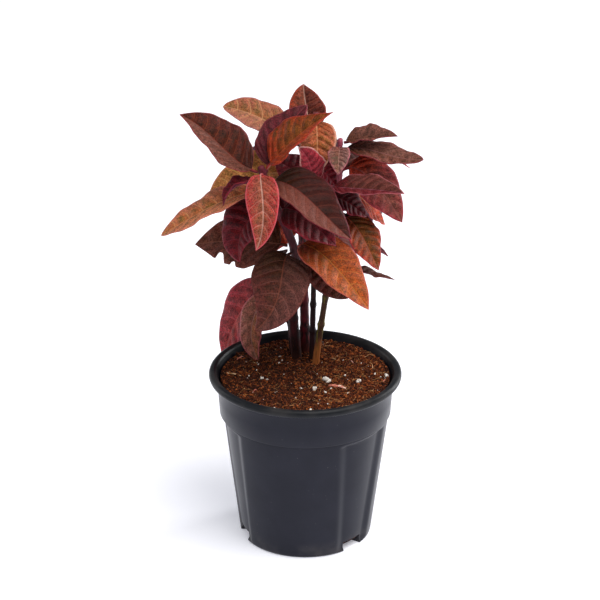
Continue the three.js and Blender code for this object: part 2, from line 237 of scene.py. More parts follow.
def fan_faces(ring: np.ndarray, middle: int, turned: bool) -> np.ndarray:
    """Triangles from a closed ring of points to a middle point.

    Args:
        ring: The numbers of the ring's points, in order.
        middle: The number of the middle point.
        turned: Whether they face the other way.

    Returns:
        One row of three point numbers for each triangle.
    """
    after = np.roll(ring, -1)
    middles = np.full(len(ring), middle)
    return np.stack([after, ring, middles] if turned else [ring, after, middles], axis=-1)


def ring_body(rings: np.ndarray, first: np.ndarray, last: np.ndarray) -> Sheet:
    """A closed body from rings with the same number of points and a point at each end.

    Args:
        rings: The rings' points, by ring, place and coordinate.
        first: The point that closes the first ring.
        last: The point that closes the last ring.

    Returns:
        The body, with one finish.
    """
    rows, columns = rings.shape[:2]
    points = np.concatenate([rings.reshape(-1, 3), [first, last]])
    count = rows * columns
    foot = fan_faces(np.arange(columns), count, True)
    head = fan_faces(np.arange(count - columns, count), count + 1, False)
    return Sheet(points, [(ring_faces(rows, columns), 0), (foot, 0), (head, 0)], {})


# How upright a tube's start may be before its sides are counted from +X instead of from the top.
STEEP = 0.9
# How far a tube's ends bulge, as a share of its radius.
END_BULGE = 0.5


def tube(path: np.ndarray, radii: np.ndarray, sides: int) -> Sheet:
    """A closed round tube along a path.

    Args:
        path: The points of its centreline.
        radii: Its radius at each point.
        sides: The number of its sides.

    Returns:
        The tube, with a point at each end.
    """
    along = unit(np.gradient(path, axis=0))
    reference = UP if abs(along[0, 2]) < STEEP else np.array([1.0, 0.0, 0.0])
    across = unit(np.cross(along, reference))
    aside = np.cross(along, across)
    angles = np.linspace(0, 2 * math.pi, sides, endpoint=False)
    rings = (
        path[:, None]
        + across[:, None] * (np.cos(angles) * radii[:, None])[..., None]
        + aside[:, None] * (np.sin(angles) * radii[:, None])[..., None]
    )
    first, last = (along[end] * radii[end] * END_BULGE for end in (0, -1))
    return ring_body(rings, path[0] - first, path[-1] + last)


def gather(sheets: list[Sheet]) -> Sheet:
    """Puts many small bodies into one mesh.

    Args:
        sheets: The bodies.

    Returns:
        The mesh, with every body's faces turned outward.
    """
    points, faces, start = [], [], 0
    for sheet in sheets:
        outward = sheet.volume() >= 0
        for run, number in sheet.faces:
            faces.append(((run if outward else run[:, ::-1]) + start, number))
        points.append(sheet.points)
        start += len(sheet.points)
    return Sheet(np.concatenate(points), faces, {})


def enter(piece: bpy.types.Object, slot: str, *nodes: str) -> None:
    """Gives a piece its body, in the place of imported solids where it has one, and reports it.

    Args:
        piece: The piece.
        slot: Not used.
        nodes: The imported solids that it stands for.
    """
    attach(piece, BODY)
    if nodes:
        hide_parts(*nodes)
    LOG.info("%s: %d faces", piece.name, len(piece.data.polygons))


# Shader maths.


class Value:
    """A number at a socket of a finish's nodes. Arithmetic on it adds Math nodes."""

    def __init__(self, graph: Graph, socket: bpy.types.NodeSocket) -> None:
        """Wraps a socket of a graph."""
        self.graph = graph
        self.socket = socket

    def _math(self, operation: str, *operands: Value | float) -> Value:
        """A Math node on these operands."""
        return self.graph.node("ShaderNodeMath", {"operation": operation}, dict(enumerate(operands)))

    def __add__(self, other: Value | float) -> Value:
        """self + other."""
        return self._math("ADD", self, other)

    def __radd__(self, other: float) -> Value:
        """other + self."""
        return self._math("ADD", other, self)

    def __sub__(self, other: Value | float) -> Value:
        """self - other."""
        return self._math("SUBTRACT", self, other)

    def __rsub__(self, other: float) -> Value:
        """other - self."""
        return self._math("SUBTRACT", other, self)

    def __mul__(self, other: Value | float) -> Value:
        """self * other."""
        return self._math("MULTIPLY", self, other)

    def __rmul__(self, other: float) -> Value:
        """other * self."""
        return self._math("MULTIPLY", other, self)

    def __abs__(self) -> Value:
        """The size of self without its sign."""
        return self._math("ABSOLUTE", self)

    def fraction(self) -> Value:
        """What is left of self above a whole number."""
        return self._math("FRACT", self)

    def top(self, other: Value | float) -> Value:
        """The larger of self and other."""
        return self._math("MAXIMUM", self, other)

    def fade(self, low: float | Value, high: float | Value) -> Value:
        """0 where self is below low, 1 where it is above high, and a soft step between them."""
        inputs = {"Value": self, "From Min": low, "From Max": high}
        return self.graph.node("ShaderNodeMapRange", {"interpolation_type": "SMOOTHSTEP"}, inputs)


def colour(code: str) -> Colour:
    """Reads a colour code.

    Args:
        code: Red, green and blue as three pairs of hex digits, such as 4a221c.

    Returns:
        The same colour in linear light, with an alpha of 1.
    """
    parts = [int(code[i : i + 2], 16) / 255 for i in (0, 2, 4)]
    red, green, blue = (p / 12.92 if p <= 0.04045 else ((p + 0.055) / 1.055) ** 2.4 for p in parts)
    return red, green, blue, 1.0


class Graph:
    """The nodes of one finish, round its single shader."""

    MIX_FACTOR = 0
    MIX_UNDER = 6
    MIX_OVER = 7
    MIX_RESULT = 2

    def __init__(self, name: str) -> None:
        """Starts a material.

        Args:
            name: The material's name.
        """
        self.material = bpy.data.materials.new(name)
        self.material.use_nodes = True
        self.tree = self.material.node_tree
        self.shader = self.tree.nodes["Principled BSDF"]

    def node(
        self,
        kind: str,
        settings: dict[str, object] | None = None,
        inputs: dict[str | int, object] | None = None,
        output: str | int = 0,
    ) -> Value:
        """Adds a node of any kind.

        Args:
            kind: The node's type.
            settings: Its own properties, set before its sockets.
            inputs: A number, a colour or a Value for each socket, by its name or place.
            output: The socket that is wanted from it, by its name or place.

        Returns:
            That socket.
        """
        made = self.tree.nodes.new(kind)
        for label, setting in (settings or {}).items():
            setattr(made, label, setting)
        for label, source in (inputs or {}).items():
            if isinstance(source, Value):
                self.tree.links.new(source.socket, made.inputs[label])
            else:
                made.inputs[label].default_value = source
        return Value(self, made.outputs[output])

    def hold(self, **constants: float | Colour) -> None:
        """Sets the shader's own sockets to constants, with _ for each space in a socket's name."""
        for label, value in constants.items():
            self.shader.inputs[label.replace("_", " ")].default_value = value

    def feed(self, label: str, source: Value) -> None:
        """Links a value to one of the shader's sockets."""
        self.tree.links.new(source.socket, self.shader.inputs[label])

    def mix(
        self, factor: Value | float, under: Value | Colour, over: Value | Colour, blend: str = "MIX"
    ) -> Value:
        """Lays one colour over another.

        Args:
            factor: How far the colour over covers the one under.
            under: The colour under.
            over: The colour over.
            blend: The way that they mix.

        Returns:
            The mixed colour.
        """
        settings = {"data_type": "RGBA", "blend_type": blend}
        inputs = {self.MIX_FACTOR: factor, self.MIX_UNDER: under, self.MIX_OVER: over}
        return self.node("ShaderNodeMix", settings, inputs, self.MIX_RESULT)

    def multiply(self, one: Value, other: Value) -> Value:
        """One colour times another."""
        return self.mix(1.0, one, other, "MULTIPLY")

    def greys(self, shade: Value, at_none: float, at_full: float) -> Value:
        """A grey that goes from one level where the shade is 0 to another where it is 1."""
        return self.mix(shade, (at_none, at_none, at_none, 1.0), (at_full, at_full, at_full, 1.0))

    def place(self, stretch: Point = (1.0, 1.0, 1.0)) -> Value:
        """Where a point is, in millimetres, with each axis stretched."""
        inputs = {0: self.node("ShaderNodeTexCoord", output="Object"), 1: tuple(s / METRES for s in stretch)}
        return self.node("ShaderNodeVectorMath", {"operation": "MULTIPLY"}, inputs)

    def cloud(self, where: Value, size: float, detail: float = 3.0) -> Value:
        """Soft noise about 0.5, with lumps of a size in millimetres."""
        inputs = {"Vector": where, "Scale": 1.0 / size, "Detail": detail}
        return self.node("ShaderNodeTexNoise", inputs=inputs)

    def cells(
        self, where: Value, size: float, feature: str = "DISTANCE_TO_EDGE", output: str = "Distance"
    ) -> Value:
        """Cells of a size in millimetres: how far the nearest edge is, or another feature and output."""
        inputs = {"Vector": where, "Scale": 1.0 / size}
        return self.node("ShaderNodeTexVoronoi", {"feature": feature}, inputs, output)

    def split(self, vector: Value) -> list[Value]:
        """The three numbers of a vector or a colour."""
        parts = self.node("ShaderNodeSeparateXYZ", inputs={0: vector}).socket.node
        return [Value(self, socket) for socket in parts.outputs]

    def pair(self, label: str) -> list[Value]:
        """The two numbers that a mesh's map of this name holds."""
        return self.split(self.node("ShaderNodeUVMap", {"uv_map": label}))[:2]

    def bump(self, height: Value, depth: float) -> None:
        """Raises the surface by a depth in millimetres where the height is 1."""
        inputs = {"Strength": 1.0, "Distance": depth * METRES, "Height": height}
        self.feed("Normal", self.node("ShaderNodeBump", inputs=inputs))


# Finishes.


Places = float | np.ndarray | Value


@dataclass(frozen=True)
class Venation:
    """The run of side veins on a blade, the same for its relief and its colour.

    Args:
        pairs: Side veins on each half, along the whole blade.
        lean: How far a vein reaches forward by the time it meets the margin.
        arch: How much more it bends forward near the margin.
        stagger: How far one half's veins start ahead of the other's, as a share of their spacing.
        easing: The share along the blade, just past its point, at which the forward reach would end.
    """

    pairs: float = 7.0
    lean: float = 0.13
    arch: float = 0.20
    stagger: float = 0.3
    easing: float = 1.15

    def away(
        self, share: Places, across: Places, out: Places, remainder: Callable[[Places], Places]
    ) -> Places:
        """How far a place is from the nearest side vein, from 0 on it to 0.5 half way to the next.

        Args:
            share: How far along the blade it is.
            across: How far from the midrib, from -1 to 1.
            out: The same without its sign.
            remainder: A function that gives what is left above a whole number.

        Returns:
            Numbers or a Value, as the places were.
        """
        forward = out * (self.arch * out + self.lean) * (self.easing - share)
        phase = (share - forward) * self.pairs + across * self.stagger
        return abs(remainder(phase + 0.5) - 0.5)


VENATION = Venation()
# The width that a leaf's span map holds as 1.
FULL_WIDTH = 60.0
# The size of the meshes in the fine net between side veins.
NET_SIZE = 1.3


class BladeFace:
    """Where each point of a leaf's face is, for the leaf's finishes."""

    def __init__(self, graph: Graph) -> None:
        """Reads the leaf's maps.

        Args:
            graph: The nodes of the finish.
        """
        self.where = graph.place()
        self.share, half = graph.pair("blade")
        aside, reach = graph.pair("span")
        self.across = half * 2.0 - 1.0
        self.out = abs(self.across)
        self.from_rib = abs(aside - 0.5) * FULL_WIDTH
        self.from_edge = reach * FULL_WIDTH - self.from_rib

    def from_vein(self, drift: Value | float = 0.0) -> Value:
        """How far a point is from the nearest side vein, once a drift along the blade is added to it."""
        return VENATION.away(self.share + drift, self.across, self.out, Value.fraction)


class Finish:
    """A look that pieces share."""

    name: str

    def material(self) -> bpy.types.Material:
        """Gives the finish's material, and makes it when it is first wanted.

        Returns:
            The material.
        """
        made = bpy.data.materials.get(self.name)
        if made is None:
            graph = Graph(self.name)
            self.paint(graph)
            made = graph.material
        return made

    def paint(self, graph: Graph) -> None:
        """Draws the finish on its nodes."""
        raise NotImplementedError


@dataclass(frozen=True)
class LeafFinish(Finish):
    """The upper face of a leaf.

    Args:
        name: The finish's name.
        core: Colour beside the midrib.
        flank: Colour towards the margins.
        base: Colour near the stalk, partly the leaf's own and partly painted shade where it meets the cane.
        blotch: Colour of the cloudy patches.
        rib: Colour of the midrib.
        vein: Colour of the side veins and the fine net between them.
        margin: Colour of the thin line along the edge.
        cover: How much of the blade the patches cover, from 0 to 1.
        flush: How far the stalk end's colour reaches along the blade.
        speckle: How strongly small dark spots show, from 0 to 1.
        sheen: Painted light and shade on one half: a paler sheen on most finishes, a darker shade on some.
        left: How strongly the half to the left, looking out from the cane, takes that painted colour.
        right: The same for the other half.
        veining: How strongly the veins show in colour.
        relief: How uneven the colour is, from 0 to 1.
        gloss: The surface's roughness.
        rim: Width of the line along the edge.
        spot: Colour of the small dark spots.
        cloud_size: Size of its clouds of colour.
        mottle_size: Size of its mottling.
        grain_size: Size of its finest grain.
        spot_size: Spacing of its small dark spots.
    """

    name: str
    core: str
    flank: str
    base: str
    blotch: str
    rib: str
    vein: str
    margin: str
    cover: float = 0.4
    flush: float = 0.3
    speckle: float = 0.0
    sheen: str = "80605a"
    left: float = 0.0
    right: float = 0.0
    veining: float = 0.5
    relief: float = 0.5
    gloss: float = 0.45
    rim: float = 1.1
    spot: str = "2c100a"
    cloud_size: float = 8.0
    mottle_size: float = 2.6
    grain_size: float = 0.7
    spot_size: float = 2.2

    def ground(self, face: BladeFace, clouds: Value, mottle: Value, grain: Value, panel: Value) -> Value:
        """The blade's colours under its veins, midrib and edge.

        Args:
            face: The places on the blade.
            clouds: Noise with the largest lumps.
            mottle: Noise with smaller lumps.
            grain: The finest noise.
            panel: 1 in the middle of each panel between two side veins, and 0 at the veins.

        Returns:
            The colour.
        """
        graph = mottle.graph
        flanks = (face.out + (mottle - 0.5) * 1.2).fade(0.1, 0.9)
        paint = graph.mix(flanks, colour(self.core), colour(self.flank))
        patches = clouds * 0.4 + mottle * 0.3 + panel * 0.08 + grain * 0.22
        patches = patches.fade(0.6 - self.cover * 0.3, 0.76 - self.cover * 0.3)
        paint = graph.mix(patches * 0.75, paint, colour(self.blotch))
        # Near the stalk: partly the leaf's own colour, partly painted shade where the blade meets the cane.
        at_base = 1.0 - (face.share + (mottle - 0.5) * 0.5).fade(self.flush * 0.2, self.flush + 0.05)
        paint = graph.mix(at_base * 0.9, paint, colour(self.base))
        # Painted light and shade on one half of the fold: paler sheen on most finishes, darker shade on
        # some.
        if self.left or self.right:
            right_side = (face.across + (grain - 0.5) * 0.1).fade(-0.05, 0.05)
            painted_light_share = right_side * self.right + (1.0 - right_side) * self.left
            paint = graph.mix(painted_light_share * (mottle * 1.2 + 0.35).fade(0.0, 1.1), paint, colour(self.sheen))
        if self.speckle:
            spots = 1.0 - graph.cells(face.where, self.spot_size, "F1").fade(0.12, 0.3)
            paint = graph.mix(spots * mottle.fade(0.42, 0.6) * self.speckle, paint, colour(self.spot))
        for shade, share in ((mottle.fade(0.35, 0.65), 0.65), (grain.fade(0.38, 0.62), 1.0), (panel, 0.28)):
            swing = self.relief * share
            paint = graph.multiply(paint, graph.greys(shade, 1.0 + swing * 0.5, 1.0 - swing))
        return paint

    def paint(self, graph: Graph) -> None:
        """Draws the blade's colours, with the veins, the midrib and the edge over them, and its relief.

        Args:
            graph: The nodes to draw on.
        """
        graph.hold(Specular_IOR_Level=0.1)
        face = BladeFace(graph)
        clouds = graph.cloud(face.where, self.cloud_size)
        mottle = graph.cloud(face.where, self.mottle_size)
        grain = graph.cloud(face.where, self.grain_size)
        net = graph.cells(face.where, NET_SIZE)
        away = face.from_vein((clouds - 0.5) * 0.02)
        line = (1.0 - away.fade(0.01, 0.085)) * face.share.fade(0.02, 0.1)
        line = line * (1.0 - face.out.fade(0.7, 1.0) * 0.7)
        panel = away.fade(0.1, 0.4) * (1.0 - face.out.fade(0.75, 1.0))
        rib = (1.0 - face.from_rib.fade(0.2, 0.65)) * (1.0 - face.share * 0.5)
        edge = 1.0 - face.from_edge.fade(self.rim * 0.3, self.rim)

        paint = self.ground(face, clouds, mottle, grain, panel)
        veins = (1.0 - net.fade(0.03, 0.2)) * 0.3 + line * (clouds.fade(0.3, 0.62) * 0.5 + 0.5)
        paint = graph.mix(veins * self.veining, paint, colour(self.vein))
        paint = graph.mix(rib * 0.8, paint, colour(self.rib))
        paint = graph.mix(edge * 0.7, paint, colour(self.margin))
        graph.feed("Base Color", paint)
        graph.feed("Roughness", mottle * 0.24 + (self.gloss - 0.12) + grain * 0.1)
        puffs = net.fade(0.0, 0.35)
        graph.bump(puffs * 0.3 + panel * 0.8 - line * 0.8 - rib * 0.8 + grain * 0.35 + mottle * 0.6, 0.32)


@dataclass(frozen=True)
class UnderFinish(Finish):
    """The underside of a leaf: matt, with raised veins.

    Args:
        name: The finish's name.
        base: Its main colour.
        deep: The colour of its darker clouds.
        vein: The colour of its midrib and veins.
    """

    name: str
    base: str
    deep: str
    vein: str

    def paint(self, graph: Graph) -> None:
        """Draws the underside's clouds and its raised veins.

        Args:
            graph: The nodes to draw on.
        """
        graph.hold(Specular_IOR_Level=0.12)
        face = BladeFace(graph)
        clouds = graph.cloud(face.where, 6.0, 4.0)
        grain = graph.cloud(face.where, 0.6, 2.0)
        side_vein = (1.0 - face.from_vein().fade(0.03, 0.12)) * face.share.fade(0.02, 0.1)
        rib = 1.0 - face.from_rib.fade(0.5, 1.3)
        edge = 1.0 - face.from_edge.fade(0.1, 0.7)
        net = 1.0 - graph.cells(face.where, NET_SIZE).fade(0.02, 0.16)
        paint = graph.mix(clouds.fade(0.35, 0.7), colour(self.base), colour(self.deep))
        lines = (side_vein * 0.5).top(net * 0.18).top(rib * 0.85).top(edge * 0.5)
        graph.feed("Base Color", graph.mix(lines, paint, colour(self.vein)))
        graph.feed("Roughness", grain * 0.15 + 0.5)
        graph.bump(side_vein * 0.6 + rib * 0.5 + net * 0.3 + grain * 0.2, 0.18)


@dataclass(frozen=True)
class StemFinish(Finish):
    """The skin of a cane, from its woody foot to its soft tip.

    Args:
        name: The finish's name.
        foot: Colour at the soil.
        wood: Main colour of the cane.
        tip: Colour of the soft growth at the top.
        patch: Colour of its flecks.
        flecks: How much of it they cover, from 0 to 1.
        foot_top: Height at which the foot's colour gives way.
        wood_top: Height at which the wood's colour starts to give way.
        tip_bottom: Height at which the soft growth's colour is full.
        shade: Colour of its dark clouds.
    """

    name: str
    foot: str
    wood: str
    tip: str
    patch: str
    flecks: float
    foot_top: float
    wood_top: float = 150.0
    tip_bottom: float = 225.0
    shade: str = "1c0b0c"

    def paint(self, graph: Graph) -> None:
        """Draws the wood, its flecks and fine streaks, and the change from foot to tip.

        Args:
            graph: The nodes to draw on.
        """
        graph.hold(Specular_IOR_Level=0.2)
        where = graph.place()
        streaks = graph.cloud(graph.place((1.0, 1.0, 0.14)), 0.9, 4.0)
        clouds = graph.cloud(graph.place((1.0, 1.0, 0.4)), 4.0)
        grain = graph.cloud(where, 0.35, 2.0)
        paint = graph.mix(clouds.fade(0.35, 0.65), colour(self.wood), colour(self.shade))
        patches = (clouds * 0.5 + streaks * 0.5).fade(0.66 - self.flecks * 0.2, 0.74 - self.flecks * 0.2)
        paint = graph.mix(patches, paint, colour(self.patch))
        rise = graph.split(where)[2] + (clouds - 0.5) * 14.0
        foot = 1.0 - rise.fade(self.foot_top - 5.0, self.foot_top + 5.0)
        paint = graph.mix(foot, paint, colour(self.foot))
        paint = graph.mix(rise.fade(self.wood_top, self.tip_bottom), paint, colour(self.tip))
        paint = graph.multiply(paint, graph.greys(streaks.fade(0.35, 0.75), 1.0, 0.55))
        graph.feed("Base Color", paint)
        graph.feed("Roughness", streaks * 0.3 + 0.38)
        graph.bump(streaks * 0.8 + grain * 0.3, 0.3)


@dataclass(frozen=True)
class PlasticFinish(Finish):
    """Moulded dark plastic with a soft sheen, faint mould lines and a little dust.

    Args:
        name: The finish's name.
        base: Its colour.
        cloud: The colour of its paler clouds.
        lip: The colour of the rolled lip.
        dust: The colour of the dust near its foot and on its lip.
        lip_bottom: Height at which the lip's colour starts to show.
        lip_top: Height at which it is full.
        foot_top: Height that the dust at the foot reaches.
    """

    name: str = "dark_plastic"
    base: str = "1d1e28"
    cloud: str = "252631"
    lip: str = "101312"
    dust: str = "6a645f"
    lip_bottom: float = 96.0
    lip_top: float = 100.0
    foot_top: float = 12.0

    def paint(self, graph: Graph) -> None:
        """Draws the plastic, its darker lip, and the dust and specks on it.

        Args:
            graph: The nodes to draw on.
        """
        graph.hold(Specular_IOR_Level=0.14)
        where = graph.place()
        height = graph.split(where)[2]
        streaks = graph.cloud(graph.place((1.0, 1.0, 0.05)), 1.6)
        clouds = graph.cloud(where, 16.0)
        grain = graph.cloud(where, 0.45, 2.0)
        specks = 1.0 - graph.cells(where, 3.2, "F1").fade(0.05, 0.11)
        lip = height.fade(self.lip_bottom, self.lip_top)
        foot = 1.0 - height.fade(0.0, self.foot_top)
        paint = graph.mix(clouds.fade(0.3, 0.75) * 0.5, colour(self.base), colour(self.cloud))
        paint = graph.mix(lip * 0.7, paint, colour(self.lip))
        paint = graph.mix((foot * 0.3 + lip * 0.12) * clouds.fade(0.4, 0.7), paint, colour(self.dust))
        paint = graph.mix(specks * clouds.fade(0.5, 0.65) * 0.35, paint, colour(self.dust))
        graph.feed("Base Color", paint)
        graph.feed("Roughness", streaks * 0.1 + clouds * 0.1 + 0.22 + lip * 0.08)
        graph.bump(clouds * 0.5 + grain * 0.2, 0.05)


@dataclass(frozen=True)
class GrainFinish(Finish):
    """Loose matter of the potting mix: mixed shades, dull and rough.

    Args:
        name: The finish's name.
        dark: Its darkest shade.
        middle: Its usual shade.
        bright: The shade of its palest bits.
        size: The size of its patches of shade.
        pale: How much of it is of the palest shade, from 0 to 1.
        relief: The depth of its fine roughness.
    """

    name: str
    dark: str
    middle: str
    bright: str
    size: float = 1.6
    pale: float = 0.3
    relief: float = 0.3

    def paint(self, graph: Graph) -> None:
        """Draws lumps of two shades, with pale bits among them.

        Args:
            graph: The nodes to draw on.
        """
        graph.hold(Specular_IOR_Level=0.15)
        where = graph.place()
        lumps = graph.cloud(where, self.size, 4.0)
        grain = graph.cloud(where, self.size * 0.3)
        bits = graph.split(graph.cells(where, self.size * 0.7, "F1", "Color"))[0]
        paint = graph.mix(lumps.fade(0.3, 0.62), colour(self.dark), colour(self.middle))
        paint = graph.mix(bits.fade(1.0 - self.pale, 1.05 - self.pale * 0.5), paint, colour(self.bright))
        paint = graph.multiply(paint, graph.greys(grain.fade(0.35, 0.75), 1.0, 0.6))
        graph.feed("Base Color", paint)
        graph.feed("Roughness", grain * 0.2 + 0.75)
        graph.bump(grain * 0.7 + lumps * 0.5, self.relief)


@dataclass(frozen=True)
class FloorFinish(Finish):
    """The pale studio floor.

    Args:
        name: The finish's name.
        base: Its colour.
        cloud: The colour of its faint clouds.
        glow: How much light it gives back on its own.
        glow_tint: The colour of that light.
    """

    name: str = "pale_floor"
    base: str = "f2f3f7"
    cloud: str = "eeeff5"
    glow: float = 0.26
    glow_tint: str = "f4f5ff"

    def paint(self, graph: Graph) -> None:
        """Draws the floor, all but even in colour.

        Args:
            graph: The nodes to draw on.
        """
        graph.hold(Roughness=0.6, Specular_IOR_Level=0.25)
        graph.hold(Emission_Strength=self.glow, Emission_Color=colour(self.glow_tint))
        clouds = graph.cloud(graph.place(), 60.0)
        graph.feed("Base Color", graph.mix(clouds, colour(self.base), colour(self.cloud)))


DARK_BROWN = LeafFinish("leaf_dark_brown", core="4c1a0c", flank="4c1610", base="34100a", blotch="381c08",
                        rib="7c382c", vein="6c3420", margin="9c343c", sheen="805044", left=0.8, veining=0.6,
                        relief=0.6)
EMBER = LeafFinish("leaf_ember", core="703810", flank="842810", base="8c2812", blotch="5c3c0c",
                   rib="b05030", vein="9c5020", margin="a83434", cover=0.5, flush=0.35, sheen="a43418",
                   right=0.5, veining=0.4)
VIOLET = LeafFinish("leaf_violet", core="4c1018", flank="581820", base="440c12", blotch="2c0c0c",
                    rib="8c4448", vein="6c3038", margin="8c3c44", sheen="64282c", left=0.35, veining=0.35)
ROSE = LeafFinish("leaf_rose", core="8c4c34", flank="a42428", base="b83c3c", blotch="7c5430", rib="c89c8c",
                  vein="b87464", margin="d45860", flush=0.15, sheen="ac2024", left=0.3,
                  right=0.1, veining=0.7)
UMBER = LeafFinish("leaf_umber", core="340f08", flank="3c1210", base="2a1a08", blotch="281006",
                   rib="7c3c34", vein="5c2c22", margin="7c2434", sheen="7c4438", right=0.85, veining=0.55,
                   relief=0.4)
WINE = LeafFinish("leaf_wine_red", core="5c1014", flank="641420", base="3c0a0e", blotch="3a0c12",
                  rib="782830", vein="742836", margin="80202c", sheen="681c20", left=0.3, veining=0.3)
AMBER = LeafFinish("leaf_amber", core="ac5c34", flank="b8644c", base="a84828", blotch="70601c",
                   rib="cc8858", vein="d09058", margin="c0685c", cover=0.45, speckle=0.4, sheen="b87860",
                   left=0.3, veining=0.6)
BRONZE = LeafFinish("leaf_bronze", core="50241a", flank="562420", base="38220e", blotch="3c240c",
                    rib="7c4434", vein="784a40", margin="642c24", sheen="68443e", left=0.4, flush=0.5)
TORTOISE = LeafFinish("leaf_tortoise", core="a44c1c", flank="a44c2c", base="782010", blotch="905c20",
                      rib="c07838", vein="b87438", margin="c05c54", cover=0.35, flush=0.4, speckle=0.9,
                      sheen="a8401c", left=0.3, veining=0.4)
TAN = LeafFinish("leaf_tan", core="8c4c2c", flank="944c3c", base="90442c", blotch="7c5820", rib="c49068",
                 vein="b88458", margin="b06c68", cover=0.45, sheen="a86c60", left=0.5, veining=0.75)
# Painted sheen: the grey in these mauve colours stands for light glancing off the leaves.
MAUVE = LeafFinish("leaf_mauve_sheen", core="6c4032", flank="78443a", base="5c3018", blotch="4c3018",
                   rib="94605c", vein="8c5848", margin="84303c", sheen="886058", left=0.2, veining=0.35,
                   gloss=0.48)
# Painted sheen: this pale grey-pink stands for light that the silvery leaf reflects.
SILVER_SHEEN = LeafFinish("leaf_silver_sheen", core="845444", flank="8c5c54", base="8c4c44", blotch="706048",
                    rib="b48478", vein="b08070", margin="b0606c", sheen="a47c7c", left=0.3, veining=0.4,
                    gloss=0.5)
MAGENTA = LeafFinish("leaf_magenta", core="a83034", flank="a8242c", base="801c1c", blotch="602018",
                     rib="c06068", vein="b04c50", margin="bc5058", cover=0.45, sheen="8c1c28", right=0.3,
                     veining=0.45)
# Painted sheen: the grey-brown core and flank stand for light on the upper half; the lower half keeps
# magenta.
SLATE_WINE = LeafFinish("leaf_slate_wine", core="603028", flank="68342e", base="641820", blotch="5c2c20",
                        rib="a0606c", vein="8c4c48", margin="ac5c64", sheen="681420", right=0.95,
                        veining=0.35)
CORAL = LeafFinish("leaf_coral", core="c4442c", flank="c04028", base="a83420", blotch="a44420",
                   rib="cc7c58", vein="c86c44", margin="c85850", cover=0.3, speckle=0.4)
MOTTLED = LeafFinish("leaf_mottled", core="743c10", flank="a4381c", base="503010", blotch="504010",
                     rib="b05840", vein="a86034", margin="b03444", cover=0.5, flush=0.35, speckle=0.7,
                     sheen="a82c2c", right=0.3, relief=0.6)
APEX = LeafFinish("leaf_apex", core="783c2c", flank="862c14", base="802c24", blotch="5c3020", rib="bc9484",
                  vein="a05c44", margin="984034", sheen="4c1814", right=0.9, veining=0.4)
FUCHSIA = LeafFinish("leaf_fuchsia", core="8c2430", flank="9c2834", base="701820", blotch="6c2020",
                     rib="b04c58", vein="a44450", margin="c89890", cover=0.3, rim=1.7, veining=0.35)
APRICOT = LeafFinish("leaf_apricot", core="ac5838", flank="b46048", base="a8502c", blotch="946020",
                     rib="cc8c64", vein="c07c50", margin="dca890", cover=0.45, speckle=0.35, veining=0.4,
                     rim=1.6)
RUSSET = LeafFinish("leaf_russet", core="7c4034", flank="8c3034", base="a83418", blotch="5c3024",
                    rib="945450", vein="8c5044", margin="902838", flush=0.45, sheen="801c24",
                    right=0.3, veining=0.4)
CLAY = LeafFinish("leaf_clay", core="8c5034", flank="944c40", base="8c6030", blotch="74582c", rib="a4746c",
                  vein="a8705c", margin="b45c64", cover=0.45, sheen="a0645c", right=0.5, veining=0.4)
PLUM = LeafFinish("leaf_plum", core="70161e", flank="7a1a22", base="501014", blotch="4c0e14", rib="8c3040",
                  vein="76222c", margin="8c2434", sheen="7c1c2c", left=0.3, veining=0.2)
CHESTNUT = LeafFinish("leaf_chestnut", core="704030", flank="7c4034", base="5c3018", blotch="54381c",
                      rib="94604c", vein="90584c", margin="70382c", sheen="7c4c44", left=0.4, veining=0.35)
HONEY = LeafFinish("leaf_honey", core="c07c44", flank="b46c40", base="a45828", blotch="907024",
                   rib="d8a070", vein="d8a860", margin="c07c64", cover=0.45, sheen="b87c58", left=0.4,
                   veining=0.6)
GARNET = LeafFinish("leaf_garnet", core="8c3028", flank="942430", base="4c1c0c", blotch="502010",
                    rib="a84848", vein="a04448", margin="a84454", cover=0.5, sheen="941c2c", right=0.4,
                    veining=0.6, relief=0.6)

PURPLE_UNDER = UnderFinish("under_purple", base="5a2030", deep="401824", vein="84404e")
RUSTY_UNDER = UnderFinish("under_rusty", base="8a4438", deep="6e3430", vein="b06c5c")


# The plant.


class Tone(Enum):
    """The record's names for the leaves' colours."""

    WINE = "leaf_wine"
    MAROON = "leaf_maroon"
    MAUVE = "leaf_mauve"
    OLIVE = "leaf_olive"
    CRIMSON = "leaf_crimson"
    RUST = "leaf_rust"

    def under(self) -> UnderFinish:
        """The underside that goes with this tone."""
        return RUSTY_UNDER if self in (Tone.OLIVE, Tone.RUST, Tone.CRIMSON) else PURPLE_UNDER


@dataclass(frozen=True)
class Bite:
    """A nibbled notch in a leaf's edge.

    Args:
        share: How far along the blade it is.
        side: -1 or 1, for the half that it is in.
        depth: How much of that half it takes, from 0 to 1.
        width: Its width along the blade, as a share of the blade.
    """

    share: float
    side: int
    depth: float
    width: float


